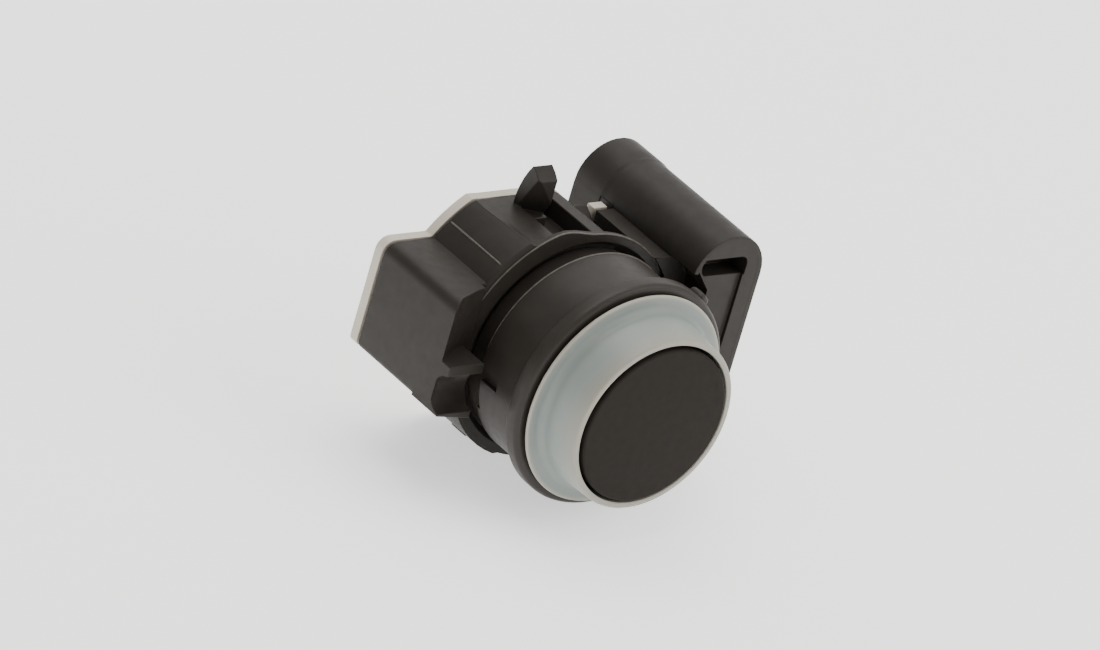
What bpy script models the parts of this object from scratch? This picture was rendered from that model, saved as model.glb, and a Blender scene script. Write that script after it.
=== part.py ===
"""Ultrasonic parking sensor with its side connector.

Millimetre sizes are turned into metres by MM. The sensor's axis runs along +Y:
y = 0 is the black face that looks outward, and y grows towards the rear cover.
Z is up and X is to the right when looking at the rear of the object from its front.
"""
import math

import bmesh
import bpy
from mathutils import Matrix

MM = 0.001
CLEARANCE = 0.3 * MM
REACH = 1.0 * MM

# transducer cup and what is stuck into it
CUP_RADIUS = 7.75 * MM
CUP_EDGE = 0.15 * MM
CUP_SIDE_WALL = 1.35 * MM
CUP_THICK_WALL = 2.55 * MM
MEMBRANE = 0.8 * MM
PIEZO_RADIUS = 3.6 * MM
PIEZO_THICKNESS = 0.4 * MM
FOAM_THICKNESS = 3.4 * MM
WIRE_RADIUS = 0.25 * MM
WIRE_SPACING = 5.0 * MM

# pale decoupling ring
RING_WALL = 0.95 * MM
RING_FRONT = 0.25 * MM
RIM_WALL = 0.61 * MM
RIM_ROUNDING = 0.2 * MM
RING_NECK_WALL = 0.9 * MM
RING_FLANGE_SETBACK = 0.74 * MM
RING_FLANGE_FRONT = 4.75 * MM
RING_FLANGE_THICKNESS = 0.35 * MM
RING_FILLET = 1.0 * MM
RING_SPIGOT_LENGTH = 4.2 * MM

# glossy front sleeve
FLANGE_RISE = 0.9 * MM
FLANGE_THICKNESS = 1.6 * MM
FLANGE_EDGE = 0.2 * MM
SLEEVE_WALL = 1.1 * MM
BARREL_EDGE = 0.12 * MM
SPIGOT_STEP = 0.5 * MM
SPIGOT_LENGTH = 1.9 * MM
SPIGOT_WALL = 0.8 * MM
SPIGOT_SKIRT = 1.1 * MM
SLEEVE_SHOULDER_STEP = 0.8 * MM
SLEEVE_SHOULDER_LENGTH = 2.5 * MM
KEY_ANGLE = 184.0
KEY_WIDTH = 1.1 * MM
KEY_DEPTH = 0.38 * MM
KEY_LENGTH = 2.8 * MM
RELIEF_START = 187.0
RELIEF_END = 205.0
RELIEF_LENGTH = 0.5 * MM
INDEX_LUG_ANGLE = 49.0
INDEX_LUG_WIDTH = 1.5 * MM
INDEX_LUG_RISE = 0.85 * MM
INDEX_LUG_LENGTH = 1.5 * MM

# contact carrier behind the cup
CARRIER_THICKNESS = 1.2 * MM
CONTACT_RADIUS = 0.4 * MM
CONTACT_SPACING = 7.0 * MM
CONTACT_LEAD = 2.2 * MM

# housing, round the axis
GROOVE_WIDTH = 1.5 * MM
COLLAR_WALL = 1.25 * MM
COLLAR_THICKNESS = 0.55 * MM
COLLAR_STEP = 0.06 * MM
COLLAR_BULGE = 1.0 * MM
COLLAR_BULGE_ANGLES = (88.0, 110.0, 172.0, 188.0)
COLLAR_LEAD_IN = 0.45 * MM
PARTITION = 1.2 * MM
PARTITION_OPENING_RADIUS = 6.0 * MM
DRUM_RISE = 1.6 * MM
DRUM_LENGTH = 8.45 * MM
DRUM_ROUNDING = 0.5 * MM
LOWER_STEP = 1.35 * MM
LOWER_FLAT_CUT = 0.85 * MM
TOP_FLAT_CUT = 2.2 * MM
TOP_FLAT_CORNER = 0.24 * MM
TOP_FLAT_RIGHT = 2.2 * MM
ARC_TOP_ANGLE = 121.6

# housing, left lobe
LOBE_REACH = 3.05 * MM
LOBE_DROP = 3.5 * MM
LOBE_HEIGHT = 10.75 * MM
LOBE_CORNER = 1.2 * MM
LOBE_LEAD = 0.35 * MM
LOBE_KNEE = 0.34 * MM
LOBE_SLANT = 2.25 * MM
LOBE_NOSE = 0.9 * MM
HOOK_HEIGHT = 5.05 * MM
HOOK_REACH = 1.3 * MM
HOOK_WIDTH = 3.9 * MM
HOOK_DROP = 0.55 * MM
HOOK_NOTCH_RADIUS = 1.95 * MM
HOOK_NOTCH_RISE = 2.15 * MM
HOOK_NOTCH_LEAD = 0.3 * MM

# housing, top strips, notch and pocket
STRIP_A_LEFT = 0.93 * MM
STRIP_A_RIGHT = 3.55 * MM
STRIP_A_DROP = 0.85 * MM
STRIP_B_DROP = 2.37 * MM
NOTCH_WIDTH = 4.0 * MM
NOTCH_DEPTH = 2.28 * MM
WEB_FRONT_SETBACK = 1.8 * MM
WEB_EDGE = 0.4 * MM
POCKET_DEPTH = 1.0 * MM
POCKET_WALL = 0.75 * MM

# housing, snap fin and the small lug below it
FIN_LEFT = -3.5 * MM
FIN_WIDTH = 2.17 * MM
FIN_HEIGHT = 4.4 * MM
FIN_SETBACK = 1.25 * MM
FIN_DEPTH = 2.2 * MM
FIN_BELLY = 0.34 * MM
FIN_BELLY_DROP = 4.25 * MM
FIN_BACK_RADIUS = 8.07 * MM
FIN_NOSE = 0.5 * MM
FIN_CUT_WIDTH = 2.93 * MM
FIN_CUT_DEPTH = 1.9 * MM
FIN_CUT_HEIGHT = 3.75 * MM
LUG_HEIGHT = 1.25 * MM

# housing, connector
HOOD_OFFSET = 1.75 * MM
HOOD_SINK = 0.38 * MM
HOOD_RADIUS = 4.0 * MM
HOOD_LEG = 12.1 * MM
HOOD_CORNER = 1.5 * MM
HOOD_OVERHANG = 5.65 * MM
HOOD_WALL = 1.25 * MM
HOOD_STEP_LENGTH = 3.8 * MM
HOOD_STEP = 0.1 * MM
HOOD_SOCKET_DEPTH = 8.8 * MM
BRIDGE_LEAD = 0.45 * MM
BRIDGE_SETBACK = 1.1 * MM
HEAD_LEAD = 2.5 * MM
HEAD_SHELF_RISE = 0.55 * MM
HEAD_SHELF_WIDTH = 0.9 * MM
STEM_GAP = 0.3 * MM
STEM_DROP = 1.5 * MM
RECESS_DEPTH = 0.35 * MM
HEAD_POCKET_DEPTH = 2.3 * MM
HEAD_POCKET_HEIGHT = 1.9 * MM
RECESS_RIM_TOP = 2.1 * MM
RECESS_RIM_RIGHT = 2.1 * MM
RECESS_RIM_LEFT = 0.8 * MM
RECESS_RIM_BOTTOM = 2.0 * MM

# chamber, circuit board and cover
WALL = 1.4 * MM
LEDGE_WIDTH = 0.9 * MM
BOARD_DEPTH = 2.35 * MM
BOARD_THICKNESS = 1.0 * MM
COVER_THICKNESS = 1.0 * MM
COVER_LIP_WIDTH = 1.0 * MM

# parts on the board, each placed from the walls that it stands beside
TRANSFORMER_SIZE = 4.6 * MM
TRANSFORMER_HEIGHT = 3.2 * MM
TRANSFORMER_POST_RADIUS = 0.9 * MM
TRANSFORMER_WALL = 0.6 * MM
TRANSFORMER_SETBACK = 4.8 * MM
CHIP_SIZE = 4.4 * MM
CHIP_HEIGHT = 1.1 * MM
CHIP_X = 0.0 * MM
CHIP_RISE = 5.85 * MM
CHIP_LEADS = 6
CHIP_LEAD_WIDTH = 0.32 * MM
CHIP_LEAD_LENGTH = 0.8 * MM
CHIP_LEAD_THICKNESS = 0.25 * MM
STORAGE_SETBACK = 5.4 * MM
STORAGE_RISE = 7.85 * MM
STORAGE_LENGTH = 3.4 * MM
STORAGE_WIDTH = 2.6 * MM
STORAGE_HEIGHT = 1.8 * MM
CRYSTAL_SETBACK = 4.45 * MM
CRYSTAL_RISE = 6.15 * MM
CRYSTAL_LENGTH = 3.0 * MM
CRYSTAL_WIDTH = 2.2 * MM
CRYSTAL_HEIGHT = 0.8 * MM
SMALL_LENGTH = 1.9 * MM
SMALL_WIDTH = 1.2 * MM
CAPACITOR_COUNT = 3
CAPACITOR_SETBACK = 5.3 * MM
CAPACITOR_PITCH = 3.0 * MM
CAPACITOR_DROP = 1.8 * MM
CAPACITOR_HEIGHT = 1.0 * MM
RESISTOR_COUNT = 3
RESISTOR_DROP = 1.9 * MM
RESISTOR_PITCH = 1.7 * MM
RESISTOR_HEIGHT = 0.5 * MM

# terminals
TERMINAL_SIZE = 0.8 * MM
TERMINAL_COUNT = 3
TERMINAL_HOOD_PITCH = 3.55 * MM
TERMINAL_BOARD_PITCH = 2.6 * MM
TERMINAL_BOARD_Z = 0.4 * MM
TERMINAL_TAIL_SETBACK = 3.25 * MM
TERMINAL_RUN_DEPTH = 1.7 * MM
TERMINAL_BLADE_LENGTH = 4.4 * MM
TERMINAL_TAIL_STICKOUT = 0.3 * MM

# round shapes
LARGE_STEPS = 72
SMALL_STEPS = 24
ARC_SAG = 0.018 * MM
WELD_DISTANCE = 0.001 * MM

# radii from the cup outward
CAVITY_HALF_WIDTH = CUP_RADIUS - CUP_SIDE_WALL
CAVITY_HALF_HEIGHT = CUP_RADIUS - CUP_THICK_WALL
RING_BORE = CUP_RADIUS + CLEARANCE
RIM_RADIUS = RING_BORE + RIM_WALL
RING_NECK_RADIUS = RING_BORE + RING_NECK_WALL
RING_SPIGOT_RADIUS = RING_BORE + RING_WALL
SLEEVE_BORE = RING_SPIGOT_RADIUS + CLEARANCE
SLEEVE_SHOULDER_RADIUS = SLEEVE_BORE - SLEEVE_SHOULDER_STEP
BARREL_RADIUS = SLEEVE_BORE + SLEEVE_WALL
FLANGE_RADIUS = BARREL_RADIUS + FLANGE_RISE
RING_FLANGE_RADIUS = FLANGE_RADIUS - RING_FLANGE_SETBACK
SPIGOT_RADIUS = BARREL_RADIUS - SPIGOT_STEP
CARRIER_BORE_RADIUS = SPIGOT_RADIUS - SPIGOT_WALL
SOCKET_RADIUS = SPIGOT_RADIUS + CLEARANCE
COLLAR_RADIUS = SOCKET_RADIUS + COLLAR_WALL
DRUM_RADIUS = COLLAR_RADIUS + DRUM_RISE
LOWER_RADIUS = DRUM_RADIUS - LOWER_STEP

# depths from the front face to the rear
PIEZO_FRONT = MEMBRANE + CLEARANCE
FOAM_FRONT = PIEZO_FRONT + PIEZO_THICKNESS + CLEARANCE
FOAM_REAR = FOAM_FRONT + FOAM_THICKNESS
RING_FLANGE_REAR = RING_FLANGE_FRONT + RING_FLANGE_THICKNESS
RING_REAR = RING_FLANGE_REAR + RING_SPIGOT_LENGTH
CUP_REAR = RING_REAR
FLANGE_FRONT = RING_FLANGE_REAR + CLEARANCE
FLANGE_REAR = FLANGE_FRONT + FLANGE_THICKNESS
SHOULDER_FRONT = RING_REAR + CLEARANCE
SHOULDER_REAR = SHOULDER_FRONT + SLEEVE_SHOULDER_LENGTH
CARRIER_FRONT = SHOULDER_REAR + CLEARANCE
CARRIER_REAR = CARRIER_FRONT + CARRIER_THICKNESS
CONTACT_FRONT = CARRIER_FRONT - CONTACT_LEAD
SPIGOT_REAR = CARRIER_REAR + SPIGOT_SKIRT
BARREL_REAR = SPIGOT_REAR - SPIGOT_LENGTH
COLLAR_FRONT = BARREL_REAR + GROOVE_WIDTH
COLLAR_REAR = COLLAR_FRONT + COLLAR_THICKNESS
SOCKET_FLOOR = SPIGOT_REAR + CLEARANCE
CHAMBER_FRONT = SOCKET_FLOOR + PARTITION
DRUM_REAR = COLLAR_FRONT + DRUM_LENGTH
BOARD_FRONT = DRUM_REAR - BOARD_DEPTH
BOARD_REAR = BOARD_FRONT + BOARD_THICKNESS
LEDGE = BOARD_FRONT - CLEARANCE
COVER_FRONT = DRUM_REAR + CLEARANCE
COVER_REAR = COVER_FRONT + COVER_THICKNESS

# heights and sides of the housing
LOWER_FLAT = LOWER_RADIUS - LOWER_FLAT_CUT
TOP_FLAT = DRUM_RADIUS - TOP_FLAT_CUT
TOP_FLAT_LEFT = DRUM_RADIUS * math.cos(math.radians(ARC_TOP_ANGLE)) + TOP_FLAT_CORNER
STRIP_A_TOP = TOP_FLAT - STRIP_A_DROP
STRIP_B_TOP = TOP_FLAT - STRIP_B_DROP
NOTCH_FLOOR = STRIP_B_TOP - NOTCH_DEPTH
NOTCH_RIGHT = STRIP_A_RIGHT + NOTCH_WIDTH
POCKET_FLOOR = STRIP_A_TOP - POCKET_DEPTH
POCKET_FRONT = COLLAR_REAR + POCKET_WALL
POCKET_REAR = DRUM_REAR - POCKET_WALL
FIN_RIGHT = FIN_LEFT + FIN_WIDTH
FIN_TOP = TOP_FLAT + FIN_HEIGHT
FIN_REAR = DRUM_REAR - FIN_SETBACK
FIN_FRONT = FIN_REAR - FIN_DEPTH
LOBE_LEFT = -DRUM_RADIUS - LOBE_REACH
LOBE_TOP = TOP_FLAT - LOBE_DROP
LOBE_BOTTOM = LOBE_TOP - LOBE_HEIGHT
LOBE_RIGHT = TOP_FLAT_LEFT - WALL
LOBE_FRONT_RIGHT = COLLAR_FRONT - LOBE_LEAD
LOBE_FRONT_LEFT = LOBE_FRONT_RIGHT - LOBE_SLANT
HOOK_TOP = LOBE_BOTTOM + HOOK_HEIGHT
HOOK_RIGHT = LOBE_LEFT + HOOK_WIDTH
HOOK_FRONT = LOBE_FRONT_LEFT - HOOK_REACH

# places of the connector
HOOD_CENTRE_X = LOWER_RADIUS + HOOD_OFFSET
HOOD_CENTRE_Z = STRIP_B_TOP - HOOD_SINK
HOOD_LEFT = HOOD_CENTRE_X - HOOD_RADIUS
HOOD_RIGHT = HOOD_CENTRE_X + HOOD_RADIUS
HOOD_BOTTOM = HOOD_CENTRE_Z - HOOD_LEG
HOOD_REAR = DRUM_REAR + HOOD_OVERHANG
HOOD_STEP_FRONT = HOOD_REAR - HOOD_STEP_LENGTH
HOOD_SOCKET_FLOOR = HOOD_REAR - HOOD_SOCKET_DEPTH
BRIDGE_FRONT = COLLAR_FRONT - BRIDGE_LEAD
BRIDGE_RIGHT = LOWER_RADIUS - BRIDGE_SETBACK
HEAD_FRONT = BARREL_REAR - HEAD_LEAD
HEAD_SHELF = HOOD_CENTRE_Z + HEAD_SHELF_RISE
STEM_LEFT = LOWER_RADIUS + STEM_GAP
STEM_TOP = HOOD_CENTRE_Z - STEM_DROP
TERMINAL_TAIL_X = HOOD_LEFT - TERMINAL_TAIL_SETBACK
TERMINAL_RUN_Y = HOOD_SOCKET_FLOOR - TERMINAL_RUN_DEPTH
TERMINAL_END = HOOD_SOCKET_FLOOR + TERMINAL_BLADE_LENGTH

# places on the board
TRANSFORMER_X = LOBE_LEFT + TRANSFORMER_SETBACK
TRANSFORMER_Z = (LOBE_TOP + LOBE_BOTTOM) / 2
CHIP_Z = CHIP_RISE - LOWER_FLAT
STORAGE_X = STORAGE_SETBACK - LOWER_RADIUS
STORAGE_Z = STORAGE_RISE - LOWER_FLAT
CRYSTAL_X = HOOD_LEFT - CRYSTAL_SETBACK
CRYSTAL_Z = CRYSTAL_RISE - LOWER_FLAT
CAPACITOR_X = CAPACITOR_SETBACK - LOWER_RADIUS
CAPACITOR_Z = NOTCH_FLOOR - CAPACITOR_DROP
RESISTOR_Z = CAPACITOR_Z - RESISTOR_DROP


def material(name, colour, roughness, metallic=0.0):
    """A Principled material in one plain colour."""
    made = bpy.data.materials.new(name)
    made.use_nodes = True
    shader = made.node_tree.nodes["Principled BSDF"]
    shader.inputs["Base Color"].default_value = (*colour, 1.0)
    shader.inputs["Roughness"].default_value = roughness
    shader.inputs["Metallic"].default_value = metallic
    made.diffuse_color = (*colour, 1.0)
    return made


def add_object(name, mesh):
    """Link a mesh to the sensor's collection as an object at the origin."""
    made = bpy.data.objects.new(name, mesh)
    bpy.data.collections["parking_sensor"].objects.link(made)
    return made


def apply_modifiers(item):
    """Keep the evaluated shape of an object as its plain mesh."""
    graph = bpy.context.evaluated_depsgraph_get()
    mesh = bpy.data.meshes.new_from_object(item.evaluated_get(graph))
    item.modifiers.clear()
    item.data = mesh


def combine(item, tool, operation):
    """Join, cut or intersect an object with a tool object, which is used up."""
    modifier = item.modifiers.new(operation.title(), "BOOLEAN")
    modifier.solver = "EXACT"
    modifier.operation = operation
    modifier.object = tool
    apply_modifiers(item)
    weld(item.data)
    bpy.data.objects.remove(tool)


def join(item, *tools):
    for tool in tools:
        combine(item, tool, "UNION")


def cut(item, *tools):
    for tool in tools:
        combine(item, tool, "DIFFERENCE")


def intersect(item, tool):
    combine(item, tool, "INTERSECT")


def arc(centre_x, centre_y, radius, start, end):
    """Points along a round stretch from one angle to another, in degrees."""
    widest = 2 * math.degrees(math.acos(1 - ARC_SAG / radius))
    steps = max(2, math.ceil(abs(end - start) / widest))
    angles = [math.radians(start + (end - start) * i / steps) for i in range(steps + 1)]
    return [(centre_x + radius * math.cos(a), centre_y + radius * math.sin(a)) for a in angles]


def ellipse(half_width, half_height, steps):
    """A closed outline round the origin."""
    angles = [2 * math.pi * i / steps for i in range(steps)]
    return [(half_width * math.cos(a), half_height * math.sin(a)) for a in angles]


def slab(name, outlines, start, end, axes):
    """A flat outline, with any holes, given thickness from start to end along the third axis."""
    curve = bpy.data.curves.new(name, "CURVE")
    curve.dimensions = "2D"
    curve.fill_mode = "BOTH"
    curve.extrude = (end - start) / 2
    for outline in outlines:
        spline = curve.splines.new("POLY")
        spline.points.add(len(outline) - 1)
        for point, (first, second) in zip(spline.points, outline):
            point.co = (first, second, 0.0, 1.0)
        spline.use_cyclic_u = True
    guide = add_object(name, curve)
    graph = bpy.context.evaluated_depsgraph_get()
    mesh = bpy.data.meshes.new_from_object(guide.evaluated_get(graph))
    bpy.data.objects.remove(guide)
    bpy.data.curves.remove(curve)
    mesh.transform(axes @ Matrix.Translation((0.0, 0.0, (start + end) / 2)))
    weld(mesh)
    return add_object(name, mesh)


def weld(mesh):
    """Merge doubled vertices and turn all faces outward."""
    work = bmesh.new()
    work.from_mesh(mesh)
    bmesh.ops.remove_doubles(work, verts=work.verts, dist=WELD_DISTANCE)
    bmesh.ops.recalc_face_normals(work, faces=work.faces)
    work.to_mesh(mesh)
    work.free()


def along_axis(name, outline, front, rear, holes=()):
    """An outline in X and Z, extruded along the sensor's axis."""
    axes = Matrix(((1, 0, 0, 0), (0, 0, 1, 0), (0, 1, 0, 0), (0, 0, 0, 1)))
    return slab(name, [outline, *holes], front, rear, axes)


def across(name, outline, left, right):
    """An outline in Y and Z, extruded along X."""
    axes = Matrix(((0, 0, 1, 0), (1, 0, 0, 0), (0, 1, 0, 0), (0, 0, 0, 1)))
    return slab(name, [outline], left, right, axes)


def upright(name, outline, bottom, top):
    """An outline in X and Y, extruded along Z."""
    return slab(name, [outline], bottom, top, Matrix.Identity(4))


def turned(name, profile, closed, steps=LARGE_STEPS):
    """A shape turned round the sensor's axis; the profile is (radius, depth), rear to front outside."""
    mesh = bpy.data.meshes.new(name)
    edges = [(i, i + 1) for i in range(len(profile) - 1)]
    if closed:
        edges.append((len(profile) - 1, 0))
    mesh.from_pydata([(radius, 0.0, depth) for radius, depth in profile], edges, [])
    made = add_object(name, mesh)
    screw = made.modifiers.new("Screw", "SCREW")
    screw.axis = "Z"
    screw.steps = steps
    screw.render_steps = steps
    screw.use_merge_vertices = True
    screw.merge_threshold = 0.001 * MM
    apply_modifiers(made)
    made.data.transform(Matrix.Rotation(math.radians(-90), 4, "X"))
    return made


def disc(name, radius, front, rear, steps=LARGE_STEPS):
    """A plain round disc or cylinder on the sensor's axis."""
    return turned(name, [(0, rear), (radius, rear), (radius, front), (0, front)], False, steps)


def pin(name, x, z, radius, front, rear):
    """A round pin parallel to the sensor's axis."""
    made = disc(name, radius, front, rear, SMALL_STEPS)
    made.data.transform(Matrix.Translation((x, 0.0, z)))
    return made


def box(name, x, y, z):
    """A box between three pairs of limits."""
    mesh = bpy.data.meshes.new(name)
    work = bmesh.new()
    bmesh.ops.create_cube(work, size=1.0)
    size = Matrix.Diagonal((x[1] - x[0], y[1] - y[0], z[1] - z[0], 1.0))
    centre = Matrix.Translation((sum(x) / 2, sum(y) / 2, sum(z) / 2))
    work.transform(centre @ size)
    work.to_mesh(mesh)
    work.free()
    return add_object(name, mesh)


def transducer_cup():
    """A deep drawn cup whose closed end is the membrane, with an oval hollow that shapes the beam."""
    profile = [(0, CUP_REAR), (CUP_RADIUS, CUP_REAR)]
    profile += [(CUP_RADIUS, CUP_EDGE), (CUP_RADIUS - CUP_EDGE, 0), (0, 0)]
    cup = turned("transducer_cup", profile, False)
    hollow = ellipse(CAVITY_HALF_WIDTH, CAVITY_HALF_HEIGHT, LARGE_STEPS)
    cut(cup, along_axis("hollow", hollow, MEMBRANE, CUP_REAR + REACH))
    return cup


def piezo_disc():
    return disc("piezo_disc", PIEZO_RADIUS, PIEZO_FRONT, PIEZO_FRONT + PIEZO_THICKNESS)


def damping_foam():
    """A block of foam that fills the cup's hollow behind the piezo disc, with a hole for each wire."""
    outline = ellipse(CAVITY_HALF_WIDTH - CLEARANCE, CAVITY_HALF_HEIGHT - CLEARANCE, LARGE_STEPS // 2)
    foam = along_axis("damping_foam", outline, FOAM_FRONT, FOAM_REAR)
    for side in (-1, 1):
        hole = WIRE_RADIUS + CLEARANCE
        cut(foam, pin("hole", side * WIRE_SPACING / 2, 0, hole, FOAM_FRONT - REACH, FOAM_REAR + REACH))
    return foam


def decoupling_ring():
    """The soft pale ring round the cup: a sleeve that flares into a flange on the front sleeve."""
    profile = [(RING_SPIGOT_RADIUS, RING_REAR), (RING_SPIGOT_RADIUS, RING_FLANGE_REAR)]
    edge = (RING_FLANGE_REAR - RING_FLANGE_FRONT) / 2
    middle = (RING_FLANGE_REAR + RING_FLANGE_FRONT) / 2
    profile += arc(RING_FLANGE_RADIUS - edge, middle, edge, 90, -90)
    fillet_centre = (RING_NECK_RADIUS + RING_FILLET, RING_FLANGE_FRONT - RING_FILLET)
    profile += arc(*fillet_centre, RING_FILLET, 90, 180)
    profile += arc(RIM_RADIUS - RIM_ROUNDING, RING_FRONT + RIM_ROUNDING, RIM_ROUNDING, 0, -90)
    profile += [(RING_BORE, RING_FRONT), (RING_BORE, RING_REAR)]
    return turned("decoupling_ring", profile, True)


def front_sleeve():
    """The glossy barrel with its front flange, a key slot and a short spigot that enters the housing."""
    profile = [
        (SPIGOT_RADIUS, SPIGOT_REAR),
        (SPIGOT_RADIUS, BARREL_REAR),
        (BARREL_RADIUS - BARREL_EDGE, BARREL_REAR),
        (BARREL_RADIUS, BARREL_REAR - BARREL_EDGE),
        (BARREL_RADIUS, FLANGE_REAR),
        (FLANGE_RADIUS - FLANGE_EDGE, FLANGE_REAR),
        (FLANGE_RADIUS, FLANGE_REAR - FLANGE_EDGE),
        (FLANGE_RADIUS, FLANGE_FRONT + FLANGE_EDGE),
        (FLANGE_RADIUS - FLANGE_EDGE, FLANGE_FRONT),
        (SLEEVE_BORE, FLANGE_FRONT),
        (SLEEVE_BORE, SHOULDER_FRONT),
        (SLEEVE_SHOULDER_RADIUS, SHOULDER_FRONT),
        (SLEEVE_SHOULDER_RADIUS, SHOULDER_REAR),
        (CARRIER_BORE_RADIUS, SHOULDER_REAR),
        (CARRIER_BORE_RADIUS, SPIGOT_REAR),
    ]
    sleeve = turned("front_sleeve", profile, True)
    half_angle = math.degrees(KEY_WIDTH / 2 / BARREL_RADIUS)
    key_floor = BARREL_RADIUS - KEY_DEPTH
    outer = BARREL_RADIUS + REACH
    sectors = (
        (KEY_ANGLE - half_angle, KEY_ANGLE + half_angle, BARREL_REAR - KEY_LENGTH),
        (RELIEF_START, RELIEF_END, BARREL_REAR - RELIEF_LENGTH),
    )
    for start, end, front in sectors:
        outline = arc(0, 0, outer, start, end) + arc(0, 0, key_floor, end, start)
        cut(sleeve, along_axis("sector", outline, front, BARREL_REAR + REACH / 2))
    join(sleeve, index_lug())
    return sleeve


def index_lug():
    """A small round-topped lug behind the flange that sets the sleeve's angle in its holder."""
    half = INDEX_LUG_WIDTH / 2
    top = BARREL_RADIUS + FLANGE_RISE + INDEX_LUG_RISE - half
    outline = [(-half, BARREL_RADIUS - BARREL_EDGE), (half, BARREL_RADIUS - BARREL_EDGE)]
    outline += arc(0, top, half, 0, 180)
    lug = along_axis("index_lug", outline, FLANGE_REAR - FLANGE_EDGE * 2, FLANGE_REAR + INDEX_LUG_LENGTH)
    lug.data.transform(Matrix.Rotation(math.radians(90 - INDEX_LUG_ANGLE), 4, "Y"))
    return lug


def rear_damper():
    """A soft disc that closes the cup from behind and lets the two wires through."""
    radius = SLEEVE_SHOULDER_RADIUS - CLEARANCE
    damper = disc("rear_damper", radius, CUP_REAR + CLEARANCE, SHOULDER_REAR)
    for side in (-1, 1):
        hole = CONTACT_RADIUS + CLEARANCE
        start = CUP_REAR - REACH
        cut(damper, pin("hole", side * CONTACT_SPACING / 2, 0, hole, start, SHOULDER_REAR + REACH))
    return damper


def contact_carrier():
    """The disc behind the damper that holds the two contacts."""
    radius = CARRIER_BORE_RADIUS - CLEARANCE
    carrier = disc("contact_carrier", radius, CARRIER_FRONT, CARRIER_REAR)
    for side in (-1, 1):
        hole = CONTACT_RADIUS + CLEARANCE
        x = side * CONTACT_SPACING / 2
        cut(carrier, pin("hole", x, 0, hole, CARRIER_FRONT - REACH, CARRIER_REAR + REACH))
    return carrier


def contact_pins():
    """Two round contacts from the carrier through the partition to the board."""
    rear = BOARD_REAR + TERMINAL_TAIL_STICKOUT
    places = (("contact_pin_1", -1), ("contact_pin_2", 1))
    return [pin(name, side * CONTACT_SPACING / 2, 0, CONTACT_RADIUS, CONTACT_FRONT, rear)
            for name, side in places]


def lead_wires():
    """Two thin wires that sweep from the piezo disc to the contacts."""
    made = []
    front = FOAM_FRONT
    rear = CONTACT_FRONT - CLEARANCE
    for name, side in (("lead_wire_1", -1), ("lead_wire_2", 1)):
        curve = bpy.data.curves.new(name, "CURVE")
        curve.dimensions = "3D"
        curve.bevel_depth = WIRE_RADIUS
        curve.bevel_resolution = 2
        curve.use_fill_caps = True
        spline = curve.splines.new("POLY")
        stations = [front] + [FOAM_REAR + (rear - FOAM_REAR) * i / 8 for i in range(9)]
        spline.points.add(len(stations) - 1)
        for point, y in zip(spline.points, stations):
            share = max(0.0, (y - FOAM_REAR) / (rear - FOAM_REAR))
            sweep = share * share * (3 - 2 * share)
            x = WIRE_SPACING / 2 + sweep * (CONTACT_SPACING - WIRE_SPACING) / 2
            point.co = (side * x, y, 0.0, 1.0)
        made.append(add_object(name, curve))
    return made


def lobe_outline(inset):
    """The left lobe in X and Z, reaching into the drum on its right."""
    left = LOBE_LEFT + inset
    top = LOBE_TOP - inset
    bottom = LOBE_BOTTOM + inset
    corner = LOBE_CORNER - inset / 2
    points = [(LOBE_RIGHT, bottom)]
    points += arc(left + corner / 2, bottom + corner / 2, corner / 2, 270, 180)
    points += arc(left + corner, top - corner, corner, 180, 90)
    points.append((LOBE_RIGHT, top))
    return points


def drum_outline():
    """The drum in X and Z: round where it shows, flat on top, stepped down at the notch, flat below."""
    inner = BRIDGE_RIGHT - CLEARANCE
    meet = math.degrees(math.asin((LOBE_TOP - WALL) / DRUM_RADIUS))
    right_angle = -math.degrees(math.acos(inner / LOWER_RADIUS))
    flat_angle = -math.degrees(math.asin(LOWER_FLAT / LOWER_RADIUS))
    left_angle = -180 - math.degrees(math.asin((LOBE_BOTTOM + WALL) / LOWER_RADIUS))
    points = arc(0, 0, DRUM_RADIUS, 180 - meet, ARC_TOP_ANGLE)
    points += [(TOP_FLAT_LEFT, TOP_FLAT), (TOP_FLAT_RIGHT, TOP_FLAT), (STRIP_A_RIGHT, STRIP_A_TOP)]
    points += [(STRIP_A_RIGHT, NOTCH_FLOOR), (inner, NOTCH_FLOOR)]
    points += arc(0, 0, LOWER_RADIUS, right_angle, flat_angle)
    points += arc(0, 0, LOWER_RADIUS, -180 - flat_angle, left_angle)
    return points


def drum():
    """The turned drum with its rounded front edge, cut to the outline."""
    front = COLLAR_FRONT + COLLAR_STEP
    rear = DRUM_REAR + REACH / 2
    edge = arc(DRUM_RADIUS - DRUM_ROUNDING, front + DRUM_ROUNDING, DRUM_ROUNDING, 0, -90)
    body = turned("housing", [(0, rear), (DRUM_RADIUS, rear), *edge, (0, front)], False)
    intersect(body, along_axis("outline", drum_outline(), COLLAR_FRONT - REACH, rear + REACH))
    return body


def collar_outline():
    """The collar in X and Z: a circle that swells towards the drum's round left side."""
    start, full, wane, end = COLLAR_BULGE_ANGLES
    points = []
    for i in range(LARGE_STEPS):
        angle = 360 * i / LARGE_STEPS
        rise = min(1.0, max(0.0, (angle - start) / (full - start)))
        fall = min(1.0, max(0.0, (end - angle) / (end - wane)))
        share = rise * rise * (3 - 2 * rise) * fall * fall * (3 - 2 * fall)
        radius = COLLAR_RADIUS + share * COLLAR_BULGE
        points.append((radius * math.cos(math.radians(angle)), radius * math.sin(math.radians(angle))))
    return points


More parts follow.
